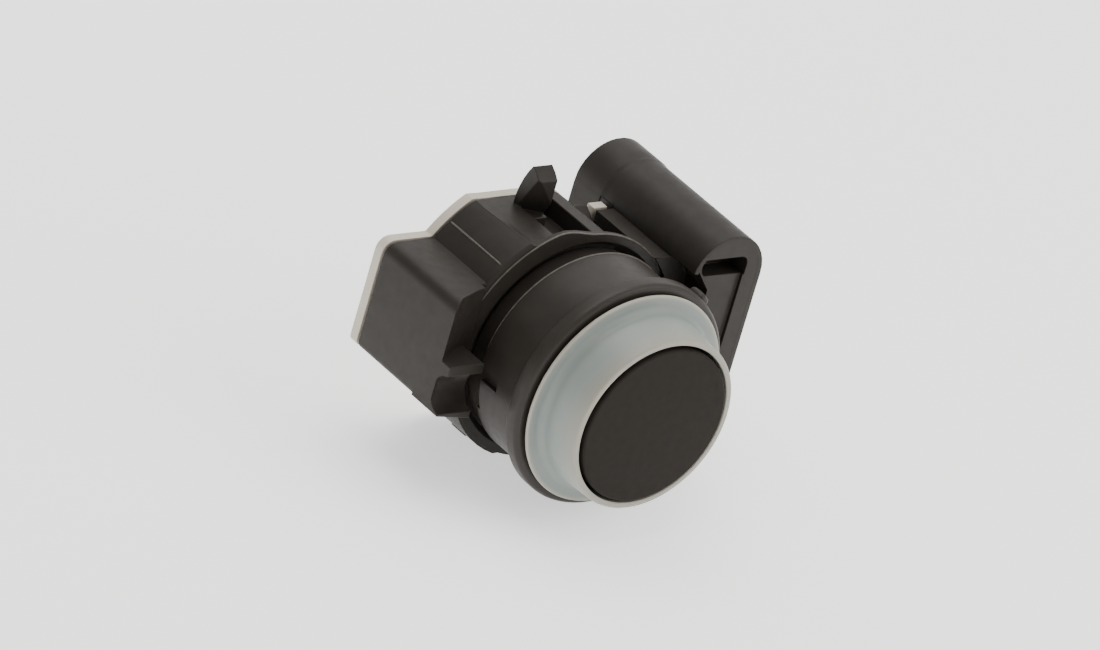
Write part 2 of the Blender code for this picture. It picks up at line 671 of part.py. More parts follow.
def lobe():
    """The left lobe with its slanted front, rounded at its top left corner."""
    rear = DRUM_REAR + REACH / 4
    seat = -COLLAR_RADIUS + CLEARANCE / 2
    top_view = [
        (LOBE_LEFT, rear),
        (LOBE_LEFT, LOBE_FRONT_LEFT),
        (LOBE_LEFT + LOBE_CORNER, LOBE_FRONT_LEFT + LOBE_NOSE),
        (HOOK_RIGHT - CLEARANCE, LOBE_FRONT_RIGHT - LOBE_KNEE),
        (seat, LOBE_FRONT_RIGHT),
        (seat, COLLAR_FRONT + CLEARANCE),
        (LOBE_RIGHT, COLLAR_FRONT + CLEARANCE),
        (LOBE_RIGHT, rear),
    ]
    body = upright("lobe", top_view, LOBE_BOTTOM, LOBE_TOP)
    intersect(body, along_axis("outline", lobe_outline(0), LOBE_FRONT_LEFT - REACH, rear + REACH))
    return body


def hook():
    """The thick lower front corner of the lobe with a half-round notch across it."""
    outline = [
        (LOBE_LEFT, LOBE_BOTTOM),
        (LOBE_LEFT, HOOK_TOP),
        (HOOK_RIGHT, HOOK_TOP),
        (HOOK_RIGHT, LOBE_BOTTOM - HOOK_DROP),
    ]
    body = along_axis("hook", outline, HOOK_FRONT, COLLAR_FRONT)
    centre = (HOOK_FRONT - HOOK_NOTCH_LEAD, LOBE_BOTTOM + HOOK_NOTCH_RISE)
    notch = arc(*centre, HOOK_NOTCH_RADIUS, 0, 360)[:-1]
    cut(body, across("notch", notch, LOBE_LEFT - REACH, HOOK_RIGHT + REACH))
    return body


def snap_fin():
    """The upright snap fin: a curved back, a blunt nose, and a slanted cut that thins its front foot."""
    foot = POCKET_FLOOR - CLEARANCE
    belly = FIN_TOP - FIN_BELLY_DROP
    back_centre = FIN_REAR + FIN_BELLY - FIN_BACK_RADIUS
    fall = math.degrees(math.asin((belly - TOP_FLAT) / FIN_BACK_RADIUS))
    rise = math.degrees(math.asin(FIN_BELLY_DROP / FIN_BACK_RADIUS))
    outline = [(FIN_FRONT, foot), (FIN_REAR, foot)]
    outline += arc(back_centre, belly, FIN_BACK_RADIUS, -fall, rise)
    outline += [(FIN_FRONT + FIN_NOSE, FIN_TOP - FIN_NOSE), (FIN_FRONT, FIN_TOP - 2 * FIN_NOSE)]
    body = across("fin", outline, FIN_LEFT, FIN_RIGHT)
    left = FIN_LEFT - REACH
    front = FIN_FRONT - REACH
    low = TOP_FLAT - CLEARANCE
    grow = 1 + REACH / FIN_CUT_WIDTH + REACH / FIN_CUT_DEPTH + CLEARANCE / FIN_CUT_HEIGHT
    top = (left, front, low + grow * FIN_CUT_HEIGHT)
    base = [(left, front), (left, front + grow * FIN_CUT_DEPTH), (left + grow * FIN_CUT_WIDTH, front)]
    cut(body, spike("front_cut", top, base, low))
    return body


def spike(name, top, base, height):
    """A pointed solid from a flat base in X and Y up to one point."""
    mesh = bpy.data.meshes.new(name)
    corners = [(x, y, height) for x, y in base]
    mesh.from_pydata([top, *corners], [], [(1, 3, 2), (0, 1, 2), (0, 2, 3), (0, 3, 1)])
    weld(mesh)
    return add_object(name, mesh)


def hood_outline(inset):
    """The connector hood in X and Z: a round top, straight sides and a flat foot."""
    corner = HOOD_CORNER - inset / 2
    left = HOOD_LEFT + inset
    right = HOOD_RIGHT - inset
    bottom = HOOD_BOTTOM + inset
    points = arc(HOOD_CENTRE_X, HOOD_CENTRE_Z, HOOD_RADIUS - inset, 0, 180)
    points += arc(left + corner, bottom + corner, corner, 180, 270)
    points += arc(right - corner, bottom + corner, corner, 270, 360)
    return points


def head_outline():
    """The connector's front block in X and Z: the hood's round top on a narrower stem."""
    shelf_angle = 180 - math.degrees(math.asin(HEAD_SHELF_RISE / HOOD_RADIUS))
    points = arc(HOOD_CENTRE_X, HOOD_CENTRE_Z, HOOD_RADIUS, 0, shelf_angle)
    points += [
        (HOOD_LEFT + HEAD_SHELF_WIDTH, HEAD_SHELF),
        (STEM_LEFT, STEM_TOP),
        (STEM_LEFT, HOOD_BOTTOM),
    ]
    points += arc(HOOD_RIGHT - HOOD_CORNER, HOOD_BOTTOM + HOOD_CORNER, HOOD_CORNER, 270, 360)
    return points


def recess_outline():
    """The shallow recess in the front block: rims on the right and below, open to the left."""
    right = HOOD_RIGHT - RECESS_RIM_RIGHT
    top = HOOD_CENTRE_Z + HOOD_RADIUS - RECESS_RIM_TOP - CLEARANCE
    bottom = HOOD_BOTTOM + RECESS_RIM_BOTTOM
    left = HOOD_LEFT - REACH
    shelf_left = HOOD_LEFT + RECESS_RIM_LEFT + CLEARANCE
    shelf = HEAD_SHELF + CLEARANCE / 2
    points = [(right, top), (shelf_left, top), (shelf_left, shelf)]
    points += [(left, shelf), (left, bottom), (right, bottom)]
    return points


def head_pocket_outline():
    """The deep pocket under the front block's round top."""
    right = HOOD_RIGHT - RECESS_RIM_RIGHT + CLEARANCE / 2
    top = HOOD_CENTRE_Z + HOOD_RADIUS - RECESS_RIM_TOP
    bottom = top - HEAD_POCKET_HEIGHT
    left = HOOD_LEFT + RECESS_RIM_LEFT
    corner = RECESS_RIM_LEFT
    points = arc(right - corner, top - corner, corner, 0, 90)
    points += [(left, top), (left, HEAD_SHELF + CLEARANCE), (left + corner, bottom), (right, bottom)]
    return points


def chamber_outline(inset):
    """The hollow behind the partition in X and Z: round below, stepped under the pocket and the notch."""
    radius = LOWER_RADIUS - inset
    ceiling = POCKET_FLOOR - inset
    low_ceiling = NOTCH_FLOOR - inset
    shoulder = STRIP_A_RIGHT - inset
    right = HOOD_LEFT - inset
    flat = LOWER_FLAT - inset
    right_angle = -math.degrees(math.acos(right / radius))
    flat_angle = -math.degrees(math.asin(flat / radius))
    lobe_floor = LOBE_BOTTOM + inset
    lobe_ceiling = LOBE_TOP - inset
    lobe_left = LOBE_LEFT + inset
    left_angle = -180 - math.degrees(math.asin(lobe_floor / radius))
    ceiling_left = -math.sqrt(radius * radius - ceiling * ceiling)
    points = [(ceiling_left, ceiling), (shoulder, ceiling), (shoulder, low_ceiling), (right, low_ceiling)]
    points += arc(0, 0, radius, right_angle, flat_angle)
    points += arc(0, 0, radius, -180 - flat_angle, left_angle)
    points += [(lobe_left, lobe_floor), (lobe_left, lobe_ceiling), (ceiling_left, lobe_ceiling)]
    return points


def terminal_heights():
    """Heights of each terminal at the board and in the hood."""
    middle = (TERMINAL_COUNT - 1) / 2
    hood_middle = (HOOD_CENTRE_Z + HOOD_RADIUS + HOOD_BOTTOM) / 2
    steps = [middle - i for i in range(TERMINAL_COUNT)]
    return [(TERMINAL_BOARD_Z + step * TERMINAL_BOARD_PITCH, hood_middle + step * TERMINAL_HOOD_PITCH)
            for step in steps]


def terminal_shape(name, board_z, hood_z, grow):
    """A square bar: forward from the board, slanting into the hood's foot, and back along the hood."""
    half = TERMINAL_SIZE / 2 + grow
    near = TERMINAL_RUN_Y - half
    tail_x = (TERMINAL_TAIL_X - half, TERMINAL_TAIL_X + half)
    blade_x = (HOOD_CENTRE_X - half, HOOD_CENTRE_X + half)
    tail_end = BOARD_REAR + TERMINAL_TAIL_STICKOUT + grow
    slope = math.atan2(hood_z - board_z, HOOD_CENTRE_X - TERMINAL_TAIL_X)
    core = 0.9 * half
    across_x = core * math.sin(slope)
    across_z = core * math.cos(slope)
    run = [
        (TERMINAL_TAIL_X + across_x, board_z - across_z),
        (HOOD_CENTRE_X + across_x, hood_z - across_z),
        (HOOD_CENTRE_X - across_x, hood_z + across_z),
        (TERMINAL_TAIL_X - across_x, board_z + across_z),
    ]
    bar = along_axis(name, run, TERMINAL_RUN_Y - core, TERMINAL_RUN_Y + core)
    join(bar, box("tail", tail_x, (near, tail_end), (board_z - half, board_z + half)))
    join(bar, box("blade", blade_x, (near, TERMINAL_END + grow), (hood_z - half, hood_z + half)))
    return bar


def housing():
    """The black moulding: drum, lobe, strips, pocket and fin, and the connector with its hood."""
    body = drum()
    rear = DRUM_REAR
    join(body, along_axis("collar", collar_outline(), COLLAR_FRONT, COLLAR_REAR), lobe(), hook())
    bridge = [
        (NOTCH_RIGHT, STRIP_B_TOP),
        (HOOD_LEFT + CLEARANCE, STRIP_B_TOP),
        (BRIDGE_RIGHT, STRIP_B_TOP - CLEARANCE / 2),
        (STEM_LEFT + REACH, STEM_TOP + CLEARANCE / 2),
        (STEM_LEFT + REACH, LOBE_BOTTOM),
        (NOTCH_RIGHT, LOBE_BOTTOM),
    ]
    join(body, along_axis("bridge", bridge, BRIDGE_FRONT, rear + REACH))
    join(body, along_axis("head", head_outline(), HEAD_FRONT, BRIDGE_FRONT + REACH))
    cut(body, disc("channel", COLLAR_RADIUS, BARREL_REAR, COLLAR_FRONT))
    behind = (LOBE_LEFT - REACH, STEM_LEFT + 2 * REACH)
    cut(body, box("behind", behind, (rear, rear + 2 * REACH), (-DRUM_RADIUS, DRUM_RADIUS)))
    join(body, along_axis("hood", hood_outline(0), BRIDGE_FRONT, HOOD_STEP_FRONT + REACH))
    join(body, along_axis("hood_step", hood_outline(-HOOD_STEP), HOOD_STEP_FRONT, HOOD_REAR))

    pocket = (FIN_LEFT + CLEARANCE, STRIP_A_LEFT)
    cut(body, box("pocket", pocket, (POCKET_FRONT, POCKET_REAR), (POCKET_FLOOR, TOP_FLAT + 2 * REACH)))
    join(body, snap_fin())
    lug = (-LOWER_FLAT - LUG_HEIGHT, -LOWER_FLAT + WALL / 2)
    join(body, box("lug", (FIN_LEFT, FIN_RIGHT), (FIN_FRONT, FIN_REAR), lug))
    web_floor = NOTCH_FLOOR - WALL / 2
    web = [
        (DRUM_REAR - WEB_FRONT_SETBACK, web_floor),
        (COVER_REAR, web_floor),
        (COVER_REAR, STRIP_B_TOP),
        (COVER_REAR - WEB_EDGE, STRIP_B_TOP),
        (DRUM_REAR - WEB_FRONT_SETBACK, NOTCH_FLOOR + CLEARANCE),
    ]
    join(body, across("web", web, STRIP_A_RIGHT + CLEARANCE, NOTCH_RIGHT - CLEARANCE))

    lead_in = SOCKET_RADIUS + COLLAR_LEAD_IN
    front_socket = [
        (0, SOCKET_FLOOR),
        (SOCKET_RADIUS, SOCKET_FLOOR),
        (SOCKET_RADIUS, COLLAR_FRONT + COLLAR_LEAD_IN),
        (lead_in, COLLAR_FRONT),
        (lead_in, COLLAR_FRONT - REACH),
        (0, COLLAR_FRONT - REACH),
    ]
    cut(body, turned("front_socket", front_socket, False))
    opening = PARTITION_OPENING_RADIUS
    cut(body, disc("opening", opening, SOCKET_FLOOR - REACH, CHAMBER_FRONT + REACH))
    cut(body, along_axis("chamber", chamber_outline(WALL + LEDGE_WIDTH), CHAMBER_FRONT, rear))
    cut(body, along_axis("board_seat", chamber_outline(WALL), LEDGE, rear + REACH))
    cut(body, along_axis("socket", hood_outline(HOOD_WALL), HOOD_SOCKET_FLOOR, HOOD_REAR + REACH))
    cut(body, along_axis("recess", recess_outline(), HEAD_FRONT - REACH, HEAD_FRONT + RECESS_DEPTH))
    pocket_depth = HEAD_FRONT + HEAD_POCKET_DEPTH
    cut(body, along_axis("head_pocket", head_pocket_outline(), HEAD_FRONT - REACH, pocket_depth))
    for board_z, hood_z in terminal_heights():
        cut(body, terminal_shape("terminal_slot", board_z, hood_z, CLEARANCE))
    return body


def cover_outline():
    """The rear cover in X and Z: flush with the lobe, the drum and both strips, clear of the hood."""
    right = HOOD_LEFT - CLEARANCE
    meet = math.degrees(math.asin(LOBE_TOP / DRUM_RADIUS))
    corner = LOBE_CORNER
    foot = corner / 2
    right_angle = -math.degrees(math.acos(right / LOWER_RADIUS))
    flat_angle = -math.degrees(math.asin(LOWER_FLAT / LOWER_RADIUS))
    lobe_angle = -180 - math.degrees(math.asin(LOBE_BOTTOM / LOWER_RADIUS))
    notch_floor = NOTCH_FLOOR - WALL / 2 - CLEARANCE
    points = arc(LOBE_LEFT + corner, LOBE_TOP - corner, corner, 180, 90)
    points += arc(0, 0, DRUM_RADIUS, 180 - meet, ARC_TOP_ANGLE)
    points += [(TOP_FLAT_LEFT, TOP_FLAT), (TOP_FLAT_RIGHT, TOP_FLAT), (STRIP_A_RIGHT, STRIP_A_TOP)]
    points += [(STRIP_A_RIGHT, notch_floor), (NOTCH_RIGHT, notch_floor), (NOTCH_RIGHT, STRIP_B_TOP)]
    points.append((right, STRIP_B_TOP))
    points += arc(0, 0, LOWER_RADIUS, right_angle, flat_angle)
    points += arc(0, 0, LOWER_RADIUS, -180 - flat_angle, lobe_angle)
    points += arc(LOBE_LEFT + foot, LOBE_BOTTOM + foot, foot, 270, 180)
    return points


def rear_cover():
    """The pale cover: a flush plate with a lip that reaches into the chamber and holds the board."""
    cover = along_axis("rear_cover", cover_outline(), COVER_FRONT, COVER_REAR)
    outer = chamber_outline(WALL + CLEARANCE)
    inner = chamber_outline(WALL + CLEARANCE + COVER_LIP_WIDTH)
    join(cover, along_axis("lip", outer, BOARD_REAR + CLEARANCE, COVER_FRONT + CLEARANCE, [inner]))
    return cover


def circuit_board():
    """The board on its ledge, with holes for the two contacts and the three terminals."""
    board = along_axis("circuit_board", chamber_outline(WALL + CLEARANCE), BOARD_FRONT, BOARD_REAR)
    front = BOARD_FRONT - REACH
    rear = BOARD_REAR + REACH
    for side in (-1, 1):
        cut(board, pin("hole", side * CONTACT_SPACING / 2, 0, CONTACT_RADIUS + CLEARANCE, front, rear))
    half = TERMINAL_SIZE / 2 + CLEARANCE
    for z, _ in terminal_heights():
        x = (TERMINAL_TAIL_X - half, TERMINAL_TAIL_X + half)
        cut(board, box("hole", x, (front, rear), (z - half, z + half)))
    return board


def on_board(name, x, z, width, height, depth):
    """A small block on the front of the board."""
    rear = BOARD_FRONT - CLEARANCE
    return box(name, (x - width / 2, x + width / 2), (rear - depth, rear), (z - height / 2, z + height / 2))


def transformer():
    """A square pot core with a round post, and the winding that sits round the post."""
    x = TRANSFORMER_X
    z = TRANSFORMER_Z
    rear = BOARD_FRONT - CLEARANCE
    core = on_board("transformer_core", x, z, TRANSFORMER_SIZE, TRANSFORMER_SIZE, TRANSFORMER_HEIGHT)
    room = TRANSFORMER_SIZE / 2 - TRANSFORMER_WALL
    front = rear - TRANSFORMER_HEIGHT + TRANSFORMER_WALL
    ring = [(room, rear + REACH), (room, front), (TRANSFORMER_POST_RADIUS, front)]
    ring.append((TRANSFORMER_POST_RADIUS, rear + REACH))
    hollow = turned("hollow", ring, True, SMALL_STEPS)
    hollow.data.transform(Matrix.Translation((x, 0.0, z)))
    cut(core, hollow)
    coil_outer = room - CLEARANCE
    coil_inner = TRANSFORMER_POST_RADIUS + CLEARANCE
    coil_front = front + CLEARANCE
    profile = [(coil_outer, rear), (coil_outer, coil_front), (coil_inner, coil_front), (coil_inner, rear)]
    coil = turned("transformer_winding", profile, True, SMALL_STEPS)
    coil.data.transform(Matrix.Translation((x, 0.0, z)))
    return core, coil


def control_chip():
    """The control chip with a row of flat leads along its upper and lower sides."""
    chip = on_board("control_chip", CHIP_X, CHIP_Z, CHIP_SIZE, CHIP_SIZE, CHIP_HEIGHT)
    pitch = CHIP_SIZE / CHIP_LEADS
    height = CHIP_SIZE + 2 * CHIP_LEAD_LENGTH
    for i in range(CHIP_LEADS):
        x = CHIP_X + (i - (CHIP_LEADS - 1) / 2) * pitch
        join(chip, on_board("leads", x, CHIP_Z, CHIP_LEAD_WIDTH, height, CHIP_LEAD_THICKNESS))
    return chip


def board_parts():
    """The small parts that stand on the front of the board, and the rows of like ones."""
    storage = on_board(
        "storage_capacitor", STORAGE_X, STORAGE_Z, STORAGE_WIDTH, STORAGE_LENGTH, STORAGE_HEIGHT)
    crystal = on_board("crystal", CRYSTAL_X, CRYSTAL_Z, CRYSTAL_LENGTH, CRYSTAL_WIDTH, CRYSTAL_HEIGHT)
    capacitors = [
        on_board(f"capacitor_{i + 1}", CAPACITOR_X + i * CAPACITOR_PITCH, CAPACITOR_Z,
                 SMALL_LENGTH, SMALL_WIDTH, CAPACITOR_HEIGHT)
        for i in range(CAPACITOR_COUNT)
    ]
    resistors = [
        on_board(f"resistor_{i + 1}", CHIP_X, RESISTOR_Z - i * RESISTOR_PITCH,
                 SMALL_LENGTH, SMALL_WIDTH, RESISTOR_HEIGHT)
        for i in range(RESISTOR_COUNT)
    ]
    return storage, crystal, capacitors, resistors


def finish(item, look):
    """Give a piece its material and smooth shading between its sharp edges."""
    item.data.materials.clear()
    item.data.materials.append(look)
    if item.type == "MESH":
        item.data.shade_smooth()
        item.data.set_sharp_from_angle(angle=math.radians(30))


def main():
    for item in list(bpy.data.objects):
        bpy.data.objects.remove(item)
    collection = bpy.data.collections.new("parking_sensor")
    bpy.context.scene.collection.children.link(collection)

    black = material("black_plastic", (0.035, 0.031, 0.028), 0.5)
    gloss = material("gloss_black_plastic", (0.03, 0.026, 0.024), 0.32)
    pale = material("pale_silicone", (0.42, 0.43, 0.4), 0.45)
    cover_look = material("pale_cover_plastic", (0.5, 0.46, 0.42), 0.5)
    face = material("painted_aluminium", (0.04, 0.036, 0.033), 0.6)
    ceramic = material("piezo_ceramic", (0.55, 0.5, 0.4), 0.5)
    foam = material("grey_foam", (0.2, 0.2, 0.2), 0.9)
    white = material("white_plastic", (0.7, 0.7, 0.66), 0.5)
    brass = material("tinned_brass", (0.75, 0.7, 0.55), 0.3, 1.0)
    copper = material("copper_wire", (0.8, 0.35, 0.18), 0.35, 1.0)
    board_green = material("board_green", (0.03, 0.2, 0.08), 0.5)
    ferrite = material("dark_ferrite", (0.06, 0.06, 0.065), 0.6)
    chip_black = material("chip_black", (0.02, 0.02, 0.02), 0.5)
    tantalum = material("yellow_tantalum", (0.75, 0.5, 0.1), 0.5)
    can = material("crystal_can", (0.7, 0.7, 0.72), 0.3, 1.0)
    tan = material("tan_ceramic", (0.45, 0.33, 0.2), 0.5)

    finish(housing(), black)
    finish(front_sleeve(), gloss)
    finish(rear_cover(), cover_look)
    finish(decoupling_ring(), pale)
    finish(transducer_cup(), face)
    finish(piezo_disc(), ceramic)
    finish(damping_foam(), foam)
    finish(rear_damper(), foam)
    finish(contact_carrier(), white)
    for item in contact_pins():
        finish(item, brass)
    for item in lead_wires():
        finish(item, copper)
    finish(circuit_board(), board_green)
    core, coil = transformer()
    finish(core, ferrite)
    finish(coil, copper)
    finish(control_chip(), chip_black)
    storage, crystal, capacitors, resistors = board_parts()
    finish(storage, tantalum)
    finish(crystal, can)
    for item in capacitors:
        finish(item, tan)
    for item in resistors:
        finish(item, chip_black)
    for i, (board_z, hood_z) in enumerate(terminal_heights()):
        finish(terminal_shape(f"terminal_{i + 1}", board_z, hood_z, 0.0), brass)


if __name__ == "__main__":
    main()
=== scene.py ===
"""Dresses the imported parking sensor: smooth turned parts, rounded mouldings, finishes, light and camera.

Sizes are in metres. The sensor's axis runs along +Y from the black face at y = 0, and Z is up.
"""
import math

import bmesh
import bpy
import numpy as np
from bpy.props import FloatProperty, FloatVectorProperty, IntProperty, PointerProperty
from mathutils import Matrix, Vector


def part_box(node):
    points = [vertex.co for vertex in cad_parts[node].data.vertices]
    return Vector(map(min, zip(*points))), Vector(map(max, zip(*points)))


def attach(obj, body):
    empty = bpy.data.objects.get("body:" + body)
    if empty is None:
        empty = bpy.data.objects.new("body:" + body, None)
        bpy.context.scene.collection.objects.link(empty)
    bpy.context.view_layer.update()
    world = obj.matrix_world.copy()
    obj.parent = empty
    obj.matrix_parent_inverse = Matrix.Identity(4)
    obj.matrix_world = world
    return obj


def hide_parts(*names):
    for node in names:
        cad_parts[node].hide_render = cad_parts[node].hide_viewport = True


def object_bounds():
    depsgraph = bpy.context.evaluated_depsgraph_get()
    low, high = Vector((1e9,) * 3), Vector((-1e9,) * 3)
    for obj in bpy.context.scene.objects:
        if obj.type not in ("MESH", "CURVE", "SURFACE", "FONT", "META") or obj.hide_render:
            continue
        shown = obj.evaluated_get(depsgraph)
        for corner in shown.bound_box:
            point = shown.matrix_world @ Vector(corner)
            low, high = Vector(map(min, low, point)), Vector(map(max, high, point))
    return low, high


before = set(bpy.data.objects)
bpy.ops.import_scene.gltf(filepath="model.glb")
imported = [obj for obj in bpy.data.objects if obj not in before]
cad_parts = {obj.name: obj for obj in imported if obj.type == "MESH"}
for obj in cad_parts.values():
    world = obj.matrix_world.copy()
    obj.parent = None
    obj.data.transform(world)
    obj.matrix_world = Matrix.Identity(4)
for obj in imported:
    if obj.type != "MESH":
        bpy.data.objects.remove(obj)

bl_info = {
    "name": "Parking sensor dressing",
    "version": (1, 0, 0),
    "blender": (4, 5, 0),
    "location": "3D View > Sidebar > Sensor",
    "description": "Smooth surfaces, finishes, studio light and camera for the packed parking sensor",
    "category": "Object",
}

MM = 0.001
FRAME_BOX = [list(corner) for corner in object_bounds()]

# Points nearer to each other than the first are one point, and numbers within the second are equal
SAME_POINT = 1e-7
SAME_NUMBER = 1e-9

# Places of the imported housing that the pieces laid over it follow
DRUM_RADIUS = 13.05 * MM
TOP_FLAT = 10.86 * MM
COLLAR_RADIUS = 11.45 * MM
COLLAR_BULGE = 1.0 * MM
COLLAR_BULGE_ANGLES = (88.0, 110.0, 172.0, 188.0)
COLLAR_FRONT = 14.34 * MM

# How the copy of a solid is cleaned, and which of its edges are rounded and by how much
WELD = 0.03 * MM
SHORTEST_EDGE = 0.01 * MM
FLAT_TURN = math.radians(0.8)
EDGE_TURN = math.radians(28.0)
ROOM_SHARE = 0.45
LEAST_WEIGHT = 0.1

# Sockets of a Mix node set to colours, which has other sockets of the same names
MIX_FACTOR = 0
MIX_FIRST = 6
MIX_SECOND = 7
MIX_RESULT = 2


class SensorSizes(bpy.types.PropertyGroup):
    """Lengths of the turned parts and of the rounded edges."""

    cup_radius: FloatProperty(
        name="Cup radius", description="Radius of the black face",
        default=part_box("transducer_cup")[1].x, unit="LENGTH")
    cup_edge: FloatProperty(
        name="Cup edge", description="Rounding round the black face", default=0.22 * MM, unit="LENGTH")
    membrane: FloatProperty(
        name="Membrane", description="Thickness of the cup's closed end", default=0.8 * MM, unit="LENGTH")
    rim_radius: FloatProperty(
        name="Rim radius", description="Outer radius of the pale ring's front edge",
        default=8.66 * MM, unit="LENGTH")
    neck_radius: FloatProperty(
        name="Neck radius", description="Outer radius of the pale ring before its flange",
        default=8.95 * MM, unit="LENGTH")
    ring_fillet: FloatProperty(
        name="Ring fillet", description="Hollow rounding between the pale ring's wall and flange",
        default=0.75 * MM, unit="LENGTH")
    barrel_edge: FloatProperty(
        name="Barrel edge", description="Rounding of the barrel's rear edge",
        default=0.14 * MM, unit="LENGTH")
    barrel_bead: FloatProperty(
        name="Barrel bead", description="Half width of the bead at the barrel's rear edge",
        default=0.1 * MM, unit="LENGTH")
    flange_edge: FloatProperty(
        name="Flange edge", description="Rounding of the black flange's front edge",
        default=0.5 * MM, unit="LENGTH")
    moulding_edge: FloatProperty(
        name="Moulding edge", description="Rounding of the housing's edges",
        default=0.13 * MM, unit="LENGTH")
    cover_edge: FloatProperty(
        name="Cover edge", description="Rounding of the pale cover's edges",
        default=0.12 * MM, unit="LENGTH")
    terminal_edge: FloatProperty(
        name="Terminal edge", description="Rounding of the terminals' edges",
        default=0.06 * MM, unit="LENGTH")
    tube_radius: FloatProperty(
        name="Tube radius", description="Radius of the connector's round top",
        default=4.0 * MM, unit="LENGTH")
    tube_skin: FloatProperty(
        name="Tube skin", description="Height of the tube's smooth surface over the solid's facets",
        default=0.03 * MM, unit="LENGTH")
    tube_edge: FloatProperty(
        name="Tube edge", description="Rounding of the tube's front and rear rims",
        default=0.13 * MM, unit="LENGTH")
    rim_bead: FloatProperty(
        name="Rim bead", description="Half width of the bead along the collar's front edge",
        default=0.09 * MM, unit="LENGTH")
    parting_radius: FloatProperty(
        name="Parting line", description="Half width of the raised parting line",
        default=0.1 * MM, unit="LENGTH")
    turn_steps: IntProperty(
        name="Turn steps", description="Points round each turned part", default=288, min=72, max=720)


class SensorColours(bpy.types.PropertyGroup):
    """Colours of the finishes, as linear values."""

    moulding: FloatVectorProperty(
        name="Moulding", description="Black filled plastic of the housing", subtype="COLOR", size=3,
        default=(0.0260, 0.0222, 0.0190), min=0.0, max=1.0)
    sleeve: FloatVectorProperty(
        name="Sleeve", description="Smoother black plastic of the barrel", subtype="COLOR", size=3,
        default=(0.0300, 0.0252, 0.0216), min=0.0, max=1.0)
    ring: FloatVectorProperty(
        name="Ring", description="Pale silicone of the decoupling ring", subtype="COLOR", size=3,
        default=(0.275, 0.28, 0.257), min=0.0, max=1.0)
    cover: FloatVectorProperty(
        name="Cover", description="Pale plastic of the rear cover", subtype="COLOR", size=3,
        default=(0.56, 0.505, 0.42), min=0.0, max=1.0)
    face: FloatVectorProperty(
        name="Face", description="Matt black paint of the face", subtype="COLOR", size=3,
        default=(0.0190, 0.0158, 0.0131), min=0.0, max=1.0)
    floor: FloatVectorProperty(
        name="Floor", description="Plain pale floor", subtype="COLOR", size=3,
        default=(0.93, 0.93, 0.93), min=0.0, max=1.0)


# Shapes: grids of points, turned outlines, beads and copies with rounded edges


def sheet_mesh(name, points, closed_u, closed_v, smooth_angle=30.0):
    """A mesh over a grid of points indexed [u, v, xyz]: each cell of the grid is one four-sided face.

    Rows that meet at a pole are merged, faces are turned outward, and the mesh is shaded smooth
    except where it turns by more than smooth_angle degrees.
    """
    rows, columns, _ = points.shape
    index = np.arange(rows * columns).reshape(rows, columns)
    if closed_u:
        index = np.concatenate([index, index[:1]], axis=0)
    if closed_v:
        index = np.concatenate([index, index[:, :1]], axis=1)
    quads = np.stack([index[:-1, :-1], index[1:, :-1], index[1:, 1:], index[:-1, 1:]], axis=-1)
    mesh = bpy.data.meshes.new(name)
    mesh.from_pydata(points.reshape(-1, 3).tolist(), [], quads.reshape(-1, 4).tolist())
    work = bmesh.new()
    work.from_mesh(mesh)
    bmesh.ops.remove_doubles(work, verts=work.verts, dist=SAME_POINT)
    bmesh.ops.recalc_face_normals(work, faces=work.faces)
    work.to_mesh(mesh)
    work.free()
    mesh.shade_smooth()
    mesh.set_sharp_from_angle(angle=math.radians(smooth_angle))
    return mesh


def rounded_outline(corners, steps=7):
    """An outline in (radius, depth) whose corners (radius, depth, rounding) are turned into arcs.

    Each arc touches both sides at rounding / tan(half the corner's angle) from the corner, and its
    points are weighted sums of the two touching points about the arc's centre (spherical blending).
    """
    nearly_straight = math.radians(89.0)
    places = np.array([corner[:2] for corner in corners])
    pieces = []
    for i, (_, _, rounding) in enumerate(corners):
        here = places[i]
        before = places[i - 1] - here
        after = places[(i + 1) % len(corners)] - here
        before /= np.linalg.norm(before)
        after /= np.linalg.norm(after)
        half = math.acos(np.clip(before @ after, -1.0, 1.0)) / 2
        if rounding <= 0.0 or half > nearly_straight:
            pieces.append(here[None, :])
            continue
        start = here + before * rounding / math.tan(half)
        end = here + after * rounding / math.tan(half)
        middle = (before + after) / np.linalg.norm(before + after)
        centre = here + middle * rounding / math.sin(half)
        sweep = math.pi - 2 * half
        share = np.linspace(0.0, 1.0, steps)[:, None]
        weight_start = np.sin((1.0 - share) * sweep) / math.sin(sweep)
        weight_end = np.sin(share * sweep) / math.sin(sweep)
        pieces.append(centre + (start - centre) * weight_start + (end - centre) * weight_end)
    return np.concatenate(pieces)


def even_angles(count):
    """Angles at equal steps round one full turn."""
    return np.linspace(0.0, 2 * math.pi, count, endpoint=False)


def about_axis(radius, angle, depth):
    """Points (radius cos angle, depth, radius sin angle), where each of the three may be an array."""
    return np.stack(np.broadcast_arrays(radius * np.cos(angle), depth, radius * np.sin(angle)), axis=-1)


def turned_points(outline, angles, radius_at=None):
    """Points of a surface of revolution about the sensor's axis, indexed [angle, station, xyz].

    The outline's (radius, depth) is carried round all angles; radius_at may change the radius as a
    function of angle and station.
    """
    angles = angles[:, None]
    radius, depth = outline.T
    if radius_at is not None:
        radius = radius_at(angles, radius, depth)
    return about_axis(radius, angles, depth)


def add_piece(name, mesh, finish, node=None):
    """Link a mesh as an object at the origin that rides on the sensor and has a finish.

    A piece that stands for a solid of the frame hides that solid's node.
    """
    piece = bpy.data.objects.new(name, mesh)
    bpy.context.scene.collection.objects.link(piece)
    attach(piece, "root")
    if node is not None:
        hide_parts(node)
    dress(piece, finish)
    return piece


